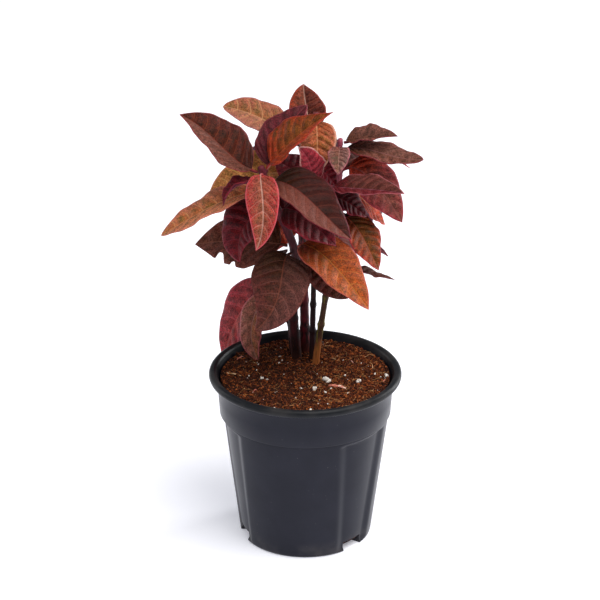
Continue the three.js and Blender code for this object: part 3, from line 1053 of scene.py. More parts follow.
@dataclass
class Leaf:
    """One leaf: a short stalk and an oval blade with a drawn-out point, folded along its midrib.

    Args:
        name: Its place on the plant, as in leaf_a1 without the first part.
        at: Height at which it leaves its cane.
        tip: The place of its point.
        width: Full width of its blade.
        bow: Lift of the blade above the straight line from stalk to point.
        fold: Degrees that each half is lifted from flat.
        tone: Its name in the record.
        finish: The look of its upper face.
        bend: Sideways reach of its bow.
        rise: Degrees by which its stalk leaves the cane upward.
        roll: Degrees that the blade is turned about its own length.
        belly: How far along the blade it is widest.
        stalk: Length of its stalk.
        bites: Notches in its edge.
        stalk_half_width: Half the width of its stalk.
        stalk_half_depth: Half the depth of its stalk.
        blade_half_depth: Half the thickness of its blade.
        tip_half_width: Half the width of its very point.
        foot_gap: How far from the cane's skin its midline starts.
        fullness: How the blade widens from the stalk: the less, the fuller.
        launch_reach: How far it keeps its stalk's direction, as a share of its length.
        bow_at: Where its bow is highest, as a share of its length.
        edge_droop: How much each half levels out towards the margin.
        waves: Broad waves along a margin.
        wave_height: Height of those waves.
        crimps: Fine waves along a margin.
        crimp: Height of the fine waves.
        quilt: How far the panels between its side veins puff up.
        quilt_top: Where between two veins a panel is highest, with 0.5 for half way.
        quilt_base: How far along the blade the panels have their full height.
        quilt_inner: How far across from the midrib they have it.
        quilt_end: How far along the blade they start to flatten again.
        bite_from: How near the midrib a bite can come, as a share of that half.
        flat_from: How far along the blade the stalk's round section is gone.
        rib_height: How far the midrib stands out of the underside.
        rib_half_width: Half the width of the midrib.
        groove: Depth of the groove over the midrib.
    """

    name: str
    at: float
    tip: Point
    width: float
    bow: float
    fold: float
    tone: Tone
    finish: LeafFinish
    bend: float = 0.0
    rise: float = 35.0
    roll: float = 0.0
    belly: float = 0.4
    stalk: float = 4.5
    bites: tuple[Bite, ...] = ()
    stalk_half_width: float = 0.85
    stalk_half_depth: float = 0.8
    blade_half_depth: float = 0.2
    tip_half_width: float = 0.12
    foot_gap: float = 0.9
    fullness: float = 0.62
    launch_reach: float = 0.3
    bow_at: float = 0.62
    edge_droop: float = 0.35
    waves: float = 2.6
    wave_height: float = 0.8
    crimps: float = 7.0
    crimp: float = 0.2
    quilt: float = 0.5
    quilt_top: float = 0.42
    quilt_base: float = 0.15
    quilt_inner: float = 0.25
    quilt_end: float = 0.75
    bite_from: float = 0.25
    flat_from: float = 0.16
    rib_height: float = 0.55
    rib_half_width: float = 0.7
    groove: float = 0.16

    STALK_ROWS = 7
    BLADE_ROWS = 60
    ROW_SPREAD = 1.12
    COLUMNS = 31
    COLUMN_SPREAD = 1.15
    NUDGE = 1e-4
    SEED_WEIGHTS = (0.37, 0.73, 0.11)

    def frame(self, cane: Cane) -> None:
        """Works out the midrib's curve.

        Args:
            cane: The cane that the leaf grows on.
        """
        t = cane.line.parameter_at(self.at)
        axis = cane.line.point(t)
        grain = cane.line.tangent(t)
        tip = np.array(self.tip, float)
        outward = unit(np.array([tip[0] - axis[0], tip[1] - axis[1], 0.0]))
        away = unit(outward - grain * np.dot(outward, grain))
        start = axis + away * (cane.radius(t) + self.foot_gap)
        self.side = np.cross(outward, UP)
        chord = tip - start
        length = float(np.linalg.norm(chord))
        lift = unit(np.cross(self.side, chord))
        rise = math.radians(self.rise)
        launch = away * math.cos(rise) + grain * math.sin(rise)
        self.ends = (
            start,
            start + launch * length * self.launch_reach,
            start + chord * self.bow_at + lift * self.bow + self.side * self.bend,
            tip,
        )
        self.stalk_share = self.stalk / length
        self.seed = float(np.dot(tip, self.SEED_WEIGHTS))

    def midrib(self, u: np.ndarray) -> np.ndarray:
        """Finds places on the midrib.

        Args:
            u: Shares of its curve, from 0 at the cane to 1 at the leaf's point.

        Returns:
            The places.
        """
        a, b, c, d = self.ends
        w = 1 - u
        return w**3 * a + 3 * w**2 * u * b + 3 * w * u**2 * c + u**3 * d

    def midrib_direction(self, u: np.ndarray) -> np.ndarray:
        """Finds the midrib's directions.

        Args:
            u: Shares of its curve.

        Returns:
            The directions, of length one.
        """
        a, b, c, d = self.ends
        w = 1 - u
        return unit(w**2 * (b - a) + 2 * w * u * (c - b) + u**2 * (d - c))

    def blade_share(self, u: np.ndarray) -> np.ndarray:
        """How far along the blade a share of the midrib is, 0 on the stalk."""
        return np.clip((u - self.stalk_share) / (1 - self.stalk_share), 0.0, 1.0)

    def outline(self, share: np.ndarray) -> np.ndarray:
        """The blade's half width along its length, 1 at its widest."""
        ahead = self.fullness * (1 - self.belly) / self.belly
        return (share / self.belly) ** self.fullness * ((1 - share) / (1 - self.belly)) ** ahead

    def half_width(self, share: np.ndarray, v: np.ndarray) -> np.ndarray:
        """Works out half the leaf's width.

        Args:
            share: How far along the blade.
            v: How far across, from -1 to 1, because the bites are in one half each.

        Returns:
            Half the width at each place, less the bites there.
        """
        least = lerp(self.stalk_half_width, self.tip_half_width, share)
        half = ((self.outline(share) * self.width / 2) ** 4 + least**4) ** 0.25
        for bite in self.bites:
            taken = np.exp(-(((share - bite.share) / bite.width) ** 4)) * bite.depth
            half = half * (1 - taken * smooth(self.bite_from, 1.0, v * bite.side))
        return half

    def surface(self, u: np.ndarray, v: np.ndarray) -> np.ndarray:
        """The middle of the leaf's thickness.

        Args:
            u: Shares of the midrib, one per row.
            v: Places across each half, from -1 to 1.

        Returns:
            Points by row and column.
        """
        along = self.midrib_direction(u[..., None])
        right = unit(self.side - along * (along @ self.side)[..., None])
        face = np.cross(right, along)
        roll = math.radians(self.roll)
        across = right * math.cos(roll) + face * math.sin(roll)
        above = face * math.cos(roll) - right * math.sin(roll)
        share = self.blade_share(u)
        fullness = self.outline(share)
        half = self.half_width(share, v)
        out = np.abs(v)
        ripple = np.sin(share * self.waves * 2 * math.pi + v) * self.wave_height * v**2 * fullness
        crimp = np.sin(share * self.crimps * 2 * math.pi + v * 2 + self.seed)
        crimp = crimp * self.crimp * out**5 * fullness
        quilt = smooth(0.0, self.quilt_top, VENATION.away(share, v, out, fraction)) * self.quilt
        quilt = quilt * smooth(0.0, self.quilt_base, share) * smooth(0.0, self.quilt_inner, out)
        quilt = quilt * (1 - out**6) * (1 - smooth(self.quilt_end, 1.0, share))
        fold = math.radians(self.fold)
        rise = out * half * math.sin(fold) * (1 - self.edge_droop * out) + ripple + crimp + quilt
        aside = v * half * math.cos(fold)
        return self.midrib(u[..., None]) + across * aside[..., None] + above * rise[..., None]

    def sheet(self) -> Sheet:
        """Makes the leaf's mesh.

        Returns:
            A closed mesh, with the upper face's finish first and the underside's second.
        """
        stalk = np.linspace(0, self.stalk_share, self.STALK_ROWS, endpoint=False)
        spread = np.linspace(0, 1, self.BLADE_ROWS) ** self.ROW_SPREAD
        blade = self.stalk_share + (1 - self.stalk_share) * spread
        u = np.concatenate([stalk, blade])[:, None]
        even = np.linspace(-1, 1, self.COLUMNS)[None, :]
        v = np.sign(even) * np.abs(even) ** self.COLUMN_SPREAD
        u, v = np.broadcast_arrays(u, v)
        points = self.surface(u, v)
        back, forth = np.maximum(u - self.NUDGE, 0), np.minimum(u + self.NUDGE, 1)
        ahead = self.surface(forth, v) - self.surface(back, v)
        aside = self.surface(u, v + self.NUDGE) - self.surface(u, v - self.NUDGE)
        normal = unit(np.cross(aside, ahead))
        share = self.blade_share(u)
        half = self.half_width(share, v)
        flat = smooth(0.0, self.flat_from, share)
        round_off = np.sqrt(np.clip(1 - v**2, 0, 1))
        thin_off = np.sqrt(np.clip(1 - v**8, 0, 1))
        stalk_depth = self.stalk_half_depth * round_off
        ridge = np.exp(-((v * half / self.rib_half_width) ** 2)) * (1 - share) ** 0.7
        top = lerp(stalk_depth, self.blade_half_depth * thin_off - self.groove * ridge, flat)
        below = lerp(stalk_depth, self.blade_half_depth * thin_off + self.rib_height * ridge, flat)
        upper, lower = points + normal * top[..., None], points - normal * below[..., None]
        return self.shell(upper, lower, share, v, half)

    @staticmethod
    def shell(
        upper: np.ndarray, lower: np.ndarray, share: np.ndarray, v: np.ndarray, half: np.ndarray
    ) -> Sheet:
        """A closed mesh from two grids that share their side columns.

        Args:
            upper: Points of the upper face, by row and column.
            lower: Points of the underside.
            share: How far along the blade each is.
            v: How far across.
            half: Half the leaf's width there.

        Returns:
            The mesh, with the maps that its finishes read.
        """
        rows, columns = share.shape
        top_numbers = np.arange(rows * columns).reshape(rows, columns)
        inner = rows * columns + np.arange(rows * (columns - 2)).reshape(rows, columns - 2)
        low_numbers = np.concatenate([top_numbers[:, :1], inner, top_numbers[:, -1:]], axis=1)
        points = [upper.reshape(-1, 3), lower[:, 1:-1].reshape(-1, 3)]
        blade = np.stack([share, (v + 1) / 2], axis=-1)
        span = np.stack([v * half / FULL_WIDTH + 0.5, half / FULL_WIDTH], axis=-1)
        maps = {}
        for label, pairs in (("blade", blade), ("span", span)):
            ends = pairs[[0, -1], columns // 2]
            maps[label] = np.concatenate([pairs.reshape(-1, 2), pairs[:, 1:-1].reshape(-1, 2), ends])

        def quads(grid: np.ndarray, turned: bool) -> np.ndarray:
            """Quads of a grid of point numbers."""
            corners = [grid[:-1, :-1], grid[:-1, 1:], grid[1:, 1:], grid[1:, :-1]]
            return np.stack(corners[::-1] if turned else corners, axis=-1).reshape(-1, 4)

        count = rows * columns + rows * (columns - 2)
        points.append(np.stack([upper[[0, -1], columns // 2], lower[[0, -1], columns // 2]]).mean(axis=0))
        foot = np.concatenate([top_numbers[0], low_numbers[0, -2:0:-1]])
        head = np.concatenate([top_numbers[-1], low_numbers[-1, -2:0:-1]])
        faces = [
            (quads(top_numbers, False), 0),
            (quads(low_numbers, True), 1),
            (fan_faces(foot, count, True), 0),
            (fan_faces(head, count + 1, False), 0),
        ]
        return Sheet(np.concatenate(points), faces, maps)

    def build(self, cane: Cane) -> None:
        """Makes the leaf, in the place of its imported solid.

        Args:
            cane: The cane that it grows on.
        """
        self.frame(cane)
        finishes = [self.finish.material(), self.tone.under().material()]
        enter(self.sheet().to_object(f"blade_{self.name}", finishes), self.tone.value, f"leaf_{self.name}")


@dataclass
class Cane:
    """A cane: a round stem that thins towards its growing tip, with a joint at each pair of leaves.

    Args:
        name: Its letter.
        points: Places along its centreline, from its root end up.
        girth: Its thickness as a share of the usual.
        finish: The look of its skin.
        leaves: The leaves that grow on it.
        root_radius: Its usual radius at its root end.
        tip_radius: Its usual radius at its tip.
        ridge: Height of its fine unevenness.
        ridge_length: Length of that unevenness.
        joint_swell: How far a joint is swollen.
        joint_length: Length of a joint's swelling to each side.
        joint_drop: How far under its leaves a joint is.
        lowest_joint: Height under which it has no joints.
        spacing: Distance between its bare joints.
        shared_spacing: Leaves nearer than this in height share a joint.
        sides: Points round it.
        rows: Points along it.
    """

    name: str
    points: list[Point]
    girth: float
    finish: StemFinish
    leaves: list[Leaf]
    root_radius: float = 2.6
    tip_radius: float = 1.4
    ridge: float = 0.12
    ridge_length: float = 3.0
    joint_swell: float = 0.45
    joint_length: float = 1.5
    joint_drop: float = 0.5
    lowest_joint: float = 112.0
    spacing: float = 17.0
    shared_spacing: float = 6.0
    sides: int = 20
    rows: int = 150

    def __post_init__(self) -> None:
        """Draws the centreline."""
        self.line = Centreline(self.points)

    def radius(self, t: Numbers) -> Numbers:
        """The cane's radius at shares t of its line."""
        return self.girth * lerp(self.root_radius, self.tip_radius, t)

    def joints(self) -> list[float]:
        """Works out where the cane is swollen.

        Returns:
            The joints' heights: one at each group of leaves, and the bare ones below them.
        """
        heights: list[float] = []
        for leaf in sorted(self.leaves, key=lambda one: one.at):
            if not heights or leaf.at - heights[-1] > self.shared_spacing:
                heights.append(leaf.at - self.joint_drop)
        below = heights[0] - self.spacing
        while below > self.lowest_joint:
            heights.append(below)
            below -= self.spacing
        return heights

    def build(self) -> None:
        """Makes the cane and its leaves."""
        shares = np.linspace(0, 1, self.rows)
        path = np.array([self.line.point(t) for t in shares])
        swell = sum(np.exp(-(((path[:, 2] - z) / self.joint_length) ** 2)) for z in self.joints())
        ridges = np.array([noise.noise(Vector(p / self.ridge_length)) for p in path]) * self.ridge
        stem = tube(path, self.radius(shares) + swell * self.joint_swell + ridges, self.sides)
        enter(stem.to_object(f"stem_{self.name}", [self.finish.material()]), "cane", f"cane_{self.name}")
        for leaf in self.leaves:
            leaf.build(self)
        LOG.info("cane %s: %d leaves", self.name, len(self.leaves))


WINE_WOOD = StemFinish("cane_wine", foot="3c2018", wood="42161a", tip="64202c", patch="6a3020", flecks=0.3,
                       foot_top=104.0)
OLIVE_WOOD = StemFinish("cane_olive", foot="a05c2c", wood="50301c", tip="a04c5c", patch="84742c",
                        flecks=0.75, foot_top=112.0)
DARK_WOOD = StemFinish("cane_dark", foot="34201a", wood="32161c", tip="5c2028", patch="4a2428", flecks=0.4,
                       foot_top=104.0)
CRIMSON_WOOD = StemFinish("cane_crimson", foot="4c2018", wood="741c28", tip="6a2c2c", patch="8c3438",
                          flecks=0.5, foot_top=104.0)


def make_canes() -> list[Cane]:
    """Lists the canes.

    Returns:
        The five canes, each with its leaves.
    """
    a = Cane(
        "a", [(-5, 22, 72), (-5, 22, 97), (-7, 17, 130), (-6, -2, 176), (-17, -9, 208), (-24.5, -13, 231)],
        1.3, WINE_WOOD,
        [
            Leaf("a1", 228, (-69, 2, 256), 36, 5, 28, Tone.MAROON, DARK_BROWN, rise=22, roll=14),
            Leaf("a2", 229, (15, -10, 262), 36, 4, 25, Tone.RUST, EMBER, roll=-12, belly=0.33),
            Leaf("a3", 226, (1, 20, 255), 28, 6, 25, Tone.WINE, VIOLET, rise=40),
            Leaf("a4", 228, (-27, -38, 192), 19, 12, 12, Tone.CRIMSON, ROSE, bend=-9),
            Leaf("a5", 221, (25, -30, 195), 35, 1, 20, Tone.MAROON, UMBER, rise=14, roll=-14, stalk=3),
            Leaf("a6", 222, (-45, -20, 211), 14, 12, 45, Tone.WINE, WINE),
            Leaf("a7", 216, (-80, -10, 189), 28, 3, 12, Tone.RUST, AMBER, rise=20, roll=7, belly=0.5),
            Leaf("a8", 207, (-36, -24, 179), 34, 5, 20, Tone.WINE, WINE, bend=14),
            Leaf("a9", 203, (17, -18, 186), 38, 2, 15, Tone.WINE, PLUM, rise=20, roll=-16, belly=0.36,
                 stalk=1.5),
            Leaf("a10", 180, (-62, 10, 175), 41, 2, 10, Tone.MAROON, CHESTNUT, bend=4, rise=15, roll=30,
                 bites=(Bite(0.62, 1, 0.3, 0.035), Bite(0.7, -1, 0.45, 0.05), Bite(0.5, -1, 0.18, 0.03))),
            Leaf("a11", 177, (-28, -32, 141), 34, 8, 12, Tone.MAROON, BRONZE, bend=-20, roll=20),
            Leaf("a12", 180, (35, -28, 152), 34, 6, 15, Tone.RUST, TORTOISE, roll=-10),
        ],
    )
    b = Cane(
        "b", [(6, 13.5, 72), (6, 13.5, 97), (7.5, 14, 112), (11, 14, 137), (18, 15, 190), (19.5, 17, 236)],
        0.9, OLIVE_WOOD,
        [
            Leaf("b1", 234, (51, 8, 241), 21, 1, 42, Tone.MAUVE, MAUVE, rise=15, roll=-17, stalk=1.5),
            Leaf("b2", 229, (65, -2, 231), 18, -4, 12, Tone.MAUVE, MAUVE, roll=-15, belly=0.5, stalk=2),
            Leaf("b3", 231, (18, -5, 223), 14, 4, 25, Tone.MAUVE, SILVER_SHEEN),
            Leaf("b4", 218, (54, 4, 191), 28, 6, 10, Tone.MAUVE, RUSSET, roll=-30),
            Leaf("b5", 227, (59, 32, 212.5), 14, 5, 15, Tone.CRIMSON, MAGENTA),
            Leaf("b6", 203, (45, 22, 182), 25, 2, 10, Tone.RUST, CORAL, roll=-20),
            Leaf("b7", 190, (41, -1, 164), 26, 3, 10, Tone.RUST, MOTTLED, rise=15, roll=-5),
            Leaf("b8", 178, (47, 16, 165), 16, 2, 30, Tone.WINE, WINE, rise=10),
            Leaf("b9", 158, (51, 22, 148), 13, 0, 20, Tone.MAROON, BRONZE, rise=10),
            Leaf("b10", 215, (40, 60, 202), 31, 8, 20, Tone.MAROON, UMBER),
            Leaf("b11", 190, (42, 62, 168), 26, 3, 20, Tone.MAUVE, MAUVE),
            Leaf("b12", 184, (32, 66, 150), 28, 8, 20, Tone.MAROON, DARK_BROWN),
        ],
    )
    c = Cane(
        "c", [(4, 20.5, 72), (4, 20.5, 97), (4.5, 20, 131), (6, 12, 180), (11, 2, 217)], 0.8, DARK_WOOD,
        [
            Leaf("c1", 214, (54, -22, 219), 24, 1, 28, Tone.MAUVE, SLATE_WINE, rise=20, roll=-13),
            Leaf("c2", 206, (34, 2, 195), 22, 3, 12, Tone.MAROON, WINE, roll=-15),
            Leaf("c3", 168, (24, -2, 147), 30, 2, 12, Tone.MAROON, BRONZE, bend=5, roll=-35),
            Leaf("c4", 212, (-4, 4, 236), 22, 4, 15, Tone.CRIMSON, FUCHSIA, roll=35),
            Leaf("c5", 209, (-18, 12, 226), 29, 2, 12, Tone.WINE, WINE, roll=20),
        ],
    )
    d = Cane(
        "d", [(0, 30, 72), (0, 30, 97), (-1, 34, 150), (-2, 34, 195), (6, 31, 246)], 1.2, CRIMSON_WOOD,
        [
            Leaf("d1", 230, (-1, 56, 254), 22, 4, 15, Tone.RUST, APEX, bend=-2, rise=40),
            Leaf("d2", 224, (-46, 28, 251), 25, 8, 15, Tone.OLIVE, TAN, bend=-5, roll=30, belly=0.5),
            Leaf("d3", 243, (7, 10, 218), 22, 5, 10, Tone.RUST, APRICOT, rise=20),
            Leaf("d4", 221, (-34, 68, 198), 28, 8, 20, Tone.MAROON, DARK_BROWN),
            Leaf("d5", 218, (14, 82, 197), 28, 8, 20, Tone.WINE, VIOLET),
            Leaf("d6", 193, (-54, 56, 160), 28, 6, 20, Tone.MAROON, BRONZE),
            Leaf("d7", 186, (-2, 88, 164), 30, 9, 18, Tone.MAROON, UMBER),
            Leaf("d8", 165, (26, 78, 134), 28, 8, 18, Tone.RUST, TORTOISE),
            Leaf("d9", 207, (-56, 16, 197), 33, 10, 12, Tone.OLIVE, HONEY, rise=20, roll=30),
            Leaf("d10", 183, (-21, 10, 168), 30, 7, 15, Tone.CRIMSON, CORAL),
            Leaf("d11", 212, (20, 30, 196), 22, 4, 12, Tone.MAROON, FUCHSIA, roll=-20),
            Leaf("d12", 201, (-28, 8, 186), 30, 4, 12, Tone.WINE, WINE, roll=15),
        ],
    )
    e = Cane(
        "e", [(-7, 28, 72), (-7, 28, 97), (-9, 29, 120), (-17, 33, 142), (-30, 40, 164)], 1.0, WINE_WOOD,
        [
            Leaf("e1", 137, (-48, 57, 76), 28, 14, 8, Tone.CRIMSON, GARNET, rise=10, roll=75),
            Leaf("e2", 138, (-27, 14, 101), 17, 3, 12, Tone.OLIVE, CLAY, bend=16, rise=15, belly=0.5),
            Leaf("e3", 161, (-56, 58, 148), 24, 6, 18, Tone.MAROON, DARK_BROWN),
            Leaf("e4", 150, (-24, 80, 128), 28, 9, 18, Tone.MAROON, BRONZE),
        ],
    )
    return [a, b, c, d, e]


# The pot and what fills it.


@dataclass
class Pot:
    """A thin tapered wall with three flutes, a collar band, a rolled lip and drain notches at its foot.

    Args:
        height: From the ground to the top of the lip.
        rim_radius: Radius over the lip.
        lip_height: Height of the lip from its lower edge.
        lip_width: Width of the lip's roll.
        lip_round: Half the height of the lip's roll.
        collar_radius: Radius of the collar band at its top.
        collar_bottom: Height of the collar's lower edge.
        collar_foot_radius: Radius of the collar band at its lower edge.
        shoulder_radius: Radius of the wall just under the collar.
        foot_radius: Radius of the wall at the ground.
        foot_round: Radius of the foot's rounded edge.
        wall: Thickness of the wall.
        floor: Height of the floor's upper face.
        floor_step: How much narrower the inside is at the floor than just above it.
        flute_bearings: Bearings of the flutes' middles.
        flute_depth: How far a flute steps in.
        flute_half_foot: Half a flute's reach at the foot, in degrees.
        flute_half_top: The same at the top.
        flute_edge: Degrees over which a flute's side slopes.
        flute_bottom: Height at which a flute has its full depth.
        flute_top: Height at which it starts to run out.
        notch_half_angle: Half a drain notch's reach, in degrees.
        notch_height: Height of a notch.
        notch_reach: How far a notch cuts into the floor.
        filling_heights: Heights of the filling's rings on the wall.
        bearings: Points round the wall.
        flute_heights: Heights of the wall's rings beside the flutes.
        flute_runout: How far under and over its top a flute runs out.
        sharp_angle: Degrees from which an edge looks sharp.
        notch_steps: Points along a notch's arc.
        notch_overshoot: How far a notch's cut reaches out of the wall.
        notch_undershoot: How far it reaches under the ground.
    """

    height: float = 102.0
    rim_radius: float = 55.0
    lip_height: float = 5.0
    lip_width: float = 4.8
    lip_round: float = 2.4
    collar_radius: float = 50.4
    collar_bottom: float = 76.5
    collar_foot_radius: float = 49.0
    shoulder_radius: float = 48.0
    foot_radius: float = 38.0
    foot_round: float = 1.5
    wall: float = 1.5
    floor: float = 2.2
    floor_step: float = 0.6
    flute_bearings: tuple[float, ...] = (47.0, 167.0, 287.0)
    flute_depth: float = 1.8
    flute_half_foot: float = 16.0
    flute_half_top: float = 20.0
    flute_edge: float = 9.0
    flute_bottom: float = 3.0
    flute_top: float = 73.0
    notch_half_angle: float = 11.0
    notch_height: float = 5.5
    notch_reach: float = 8.0
    filling_heights: tuple[float, ...] = (75.0, 73.0, 3.0)
    bearings: int = 360
    flute_heights: tuple[float, ...] = (
        2.2, 3.0, 5.0, 20.0, 38.0, 56.0, 70.0, 72.0, 72.8, 73.4, 74.0, 74.6, 75.2,
    )
    flute_runout: tuple[float, float] = (0.5, 2.0)
    sharp_angle: float = 42.0
    notch_steps: int = 9
    notch_overshoot: float = 4.0
    notch_undershoot: float = 1.0

    def wall_radius(self, height: float) -> float:
        """The wall's outer radius at a height, without flutes."""
        return lerp(self.foot_radius, self.shoulder_radius, height / self.collar_bottom)

    def flute(self, bearing: np.ndarray, height: float) -> np.ndarray:
        """Works out how far the wall steps in.

        Args:
            bearing: Bearings round the pot.
            height: A height.

        Returns:
            The depth at each bearing.
        """
        half = lerp(self.flute_half_foot, self.flute_half_top, height / self.flute_top)
        under, over = self.flute_runout
        top = smooth(self.flute_top - under, self.flute_top + over, height)
        along = smooth(0.0, self.flute_bottom, height) * (1 - top)
        slope = self.flute_edge / 2
        depth = np.zeros_like(bearing)
        for middle in self.flute_bearings:
            away = np.abs((bearing - middle + 180) % 360 - 180)
            depth = np.maximum(depth, 1 - smooth(half - slope, half + slope, away))
        return depth * along * self.flute_depth

    def profile(self) -> list[tuple[float, float]]:
        """Draws half the pot's section.

        Returns:
            Radius and height pairs, from the underside, up the outside and down the inside to the floor.
        """
        lip_bottom = self.height - self.lip_height
        rows = [(self.foot_radius * 0.5, 0.0), (self.foot_radius - 3.0, 0.0)]
        for angle in np.radians([0, 30, 60, 90]):
            inset = self.foot_round * (1 - math.sin(angle))
            rows.append((self.foot_radius + 0.1 - inset, self.foot_round * (1 - math.cos(angle))))
        rows += [(self.wall_radius(z), z) for z in self.flute_heights]
        rows += [
            (self.wall_radius(self.collar_bottom) - 0.1, self.collar_bottom - 0.3),
            (self.collar_foot_radius - 0.3, self.collar_bottom - 0.1),
            (self.collar_foot_radius, self.collar_bottom + 0.4),
            (
                lerp(self.collar_foot_radius, self.collar_radius, 0.5),
                lerp(self.collar_bottom, lip_bottom, 0.5),
            ),
            (self.collar_radius - 0.1, lip_bottom - 0.6),
            (self.collar_radius + 0.3, lip_bottom + 0.1),
            (self.collar_radius + 1.2, lip_bottom + 0.2),
        ]
        half_lip = self.lip_width / 2
        for angle in np.radians(range(-70, 171, 20)):
            rows.append((self.rim_radius - half_lip + math.cos(angle) * half_lip,
                         self.height - self.lip_round + math.sin(angle) * self.lip_round))
        inner = self.collar_radius - self.wall
        rows += [
            (inner + 0.7, lip_bottom + 1.2),
            (inner, lip_bottom - 1.0),
            (self.collar_foot_radius - self.wall, self.collar_bottom + 1.0),
        ]
        rows += [(self.wall_radius(z) - self.wall, z) for z in reversed(self.flute_heights)]
        foot_inner = self.foot_radius - self.wall - self.floor_step
        return [*rows, (foot_inner, self.floor), (self.foot_radius * 0.5, self.floor)]

    def inside(self, clearance: float, bottom: float) -> list[tuple[float, float]]:
        """Draws the wall's inner face for what fills the pot.

        Args:
            clearance: How far the filling keeps from the wall.
            bottom: Height of the filling's underside.

        Returns:
            Radius and height pairs from the top down.
        """
        pairs = [
            (self.collar_radius - self.wall, self.height - self.lip_height - 1),
            (self.collar_foot_radius - self.wall, self.collar_bottom + 1),
            *((self.wall_radius(z) - self.wall, z) for z in self.filling_heights),
        ]
        pairs.append((self.foot_radius - self.wall - self.floor_step, bottom))
        return [(radius - clearance, z) for radius, z in pairs]

    def notch_cutter(self, bearing: float) -> bpy.types.Object:
        """Makes the wedge that a drain notch takes out of the wall and the floor's edge.

        Args:
            bearing: Bearing of the notch's middle.

        Returns:
            The wedge, to be taken away after the cut.
        """
        inner, outer = self.foot_radius - self.notch_reach, self.foot_radius + self.notch_overshoot
        arc = bearing + np.linspace(-1, 1, self.notch_steps) * self.notch_half_angle
        rings = []
        for z in (-self.notch_undershoot, self.notch_height):
            rings.append(np.concatenate([on_bearing(arc, outer, z), on_bearing(arc[::-1], inner, z)]))
        ends = (ring.mean(axis=0) for ring in rings)
        return ring_body(np.array(rings), *ends).to_object("notch_cutter", [])

    def build(self) -> None:
        """Makes the pot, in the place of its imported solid."""
        bearing = np.linspace(0, 360, self.bearings, endpoint=False)
        rings = np.array([on_bearing(bearing, r - self.flute(bearing, z), z) for r, z in self.profile()])
        body = ring_body(rings, np.zeros(3), np.array([0.0, 0.0, self.floor]))
        piece = body.to_object("nursery_pot", [PlasticFinish().material()])
        cutters = [self.notch_cutter(middle) for middle in self.flute_bearings]
        for cutter in cutters:
            cut = piece.modifiers.new("notch", "BOOLEAN")
            cut.operation = "DIFFERENCE"
            cut.solver = "EXACT"
            cut.object = cutter
        keep_modified(piece)
        for cutter in cutters:
            bpy.data.objects.remove(cutter)
        piece.data.set_sharp_from_angle(angle=math.radians(self.sharp_angle))
        enter(piece, "pot", "pot")


def keep_modified(piece: bpy.types.Object) -> None:
    """Replaces a piece's mesh by what its modifiers make of it.

    Args:
        piece: The piece.
    """
    evaluated = piece.evaluated_get(bpy.context.evaluated_depsgraph_get())
    mesh = bpy.data.meshes.new_from_object(evaluated)
    piece.modifiers.clear()
    piece.data = mesh


# A rough lump starts as a body of twenty equal faces.
GOLDEN = (1 + math.sqrt(5)) / 2
LUMP_CORNERS = unit(np.array([
    (-1, GOLDEN, 0), (1, GOLDEN, 0), (-1, -GOLDEN, 0), (1, -GOLDEN, 0),
    (0, -1, GOLDEN), (0, 1, GOLDEN), (0, -1, -GOLDEN), (0, 1, -GOLDEN),
    (GOLDEN, 0, -1), (GOLDEN, 0, 1), (-GOLDEN, 0, -1), (-GOLDEN, 0, 1),
]))
LUMP_FACES = np.array([
    (0, 11, 5), (0, 5, 1), (0, 1, 7), (0, 7, 10), (0, 10, 11), (1, 5, 9), (5, 11, 4),
    (11, 10, 2), (10, 7, 6), (7, 1, 8), (3, 9, 4), (3, 4, 2), (3, 2, 6), (3, 6, 8),
    (3, 8, 9), (4, 9, 5), (2, 4, 11), (6, 2, 10), (8, 6, 7), (9, 8, 1),
])


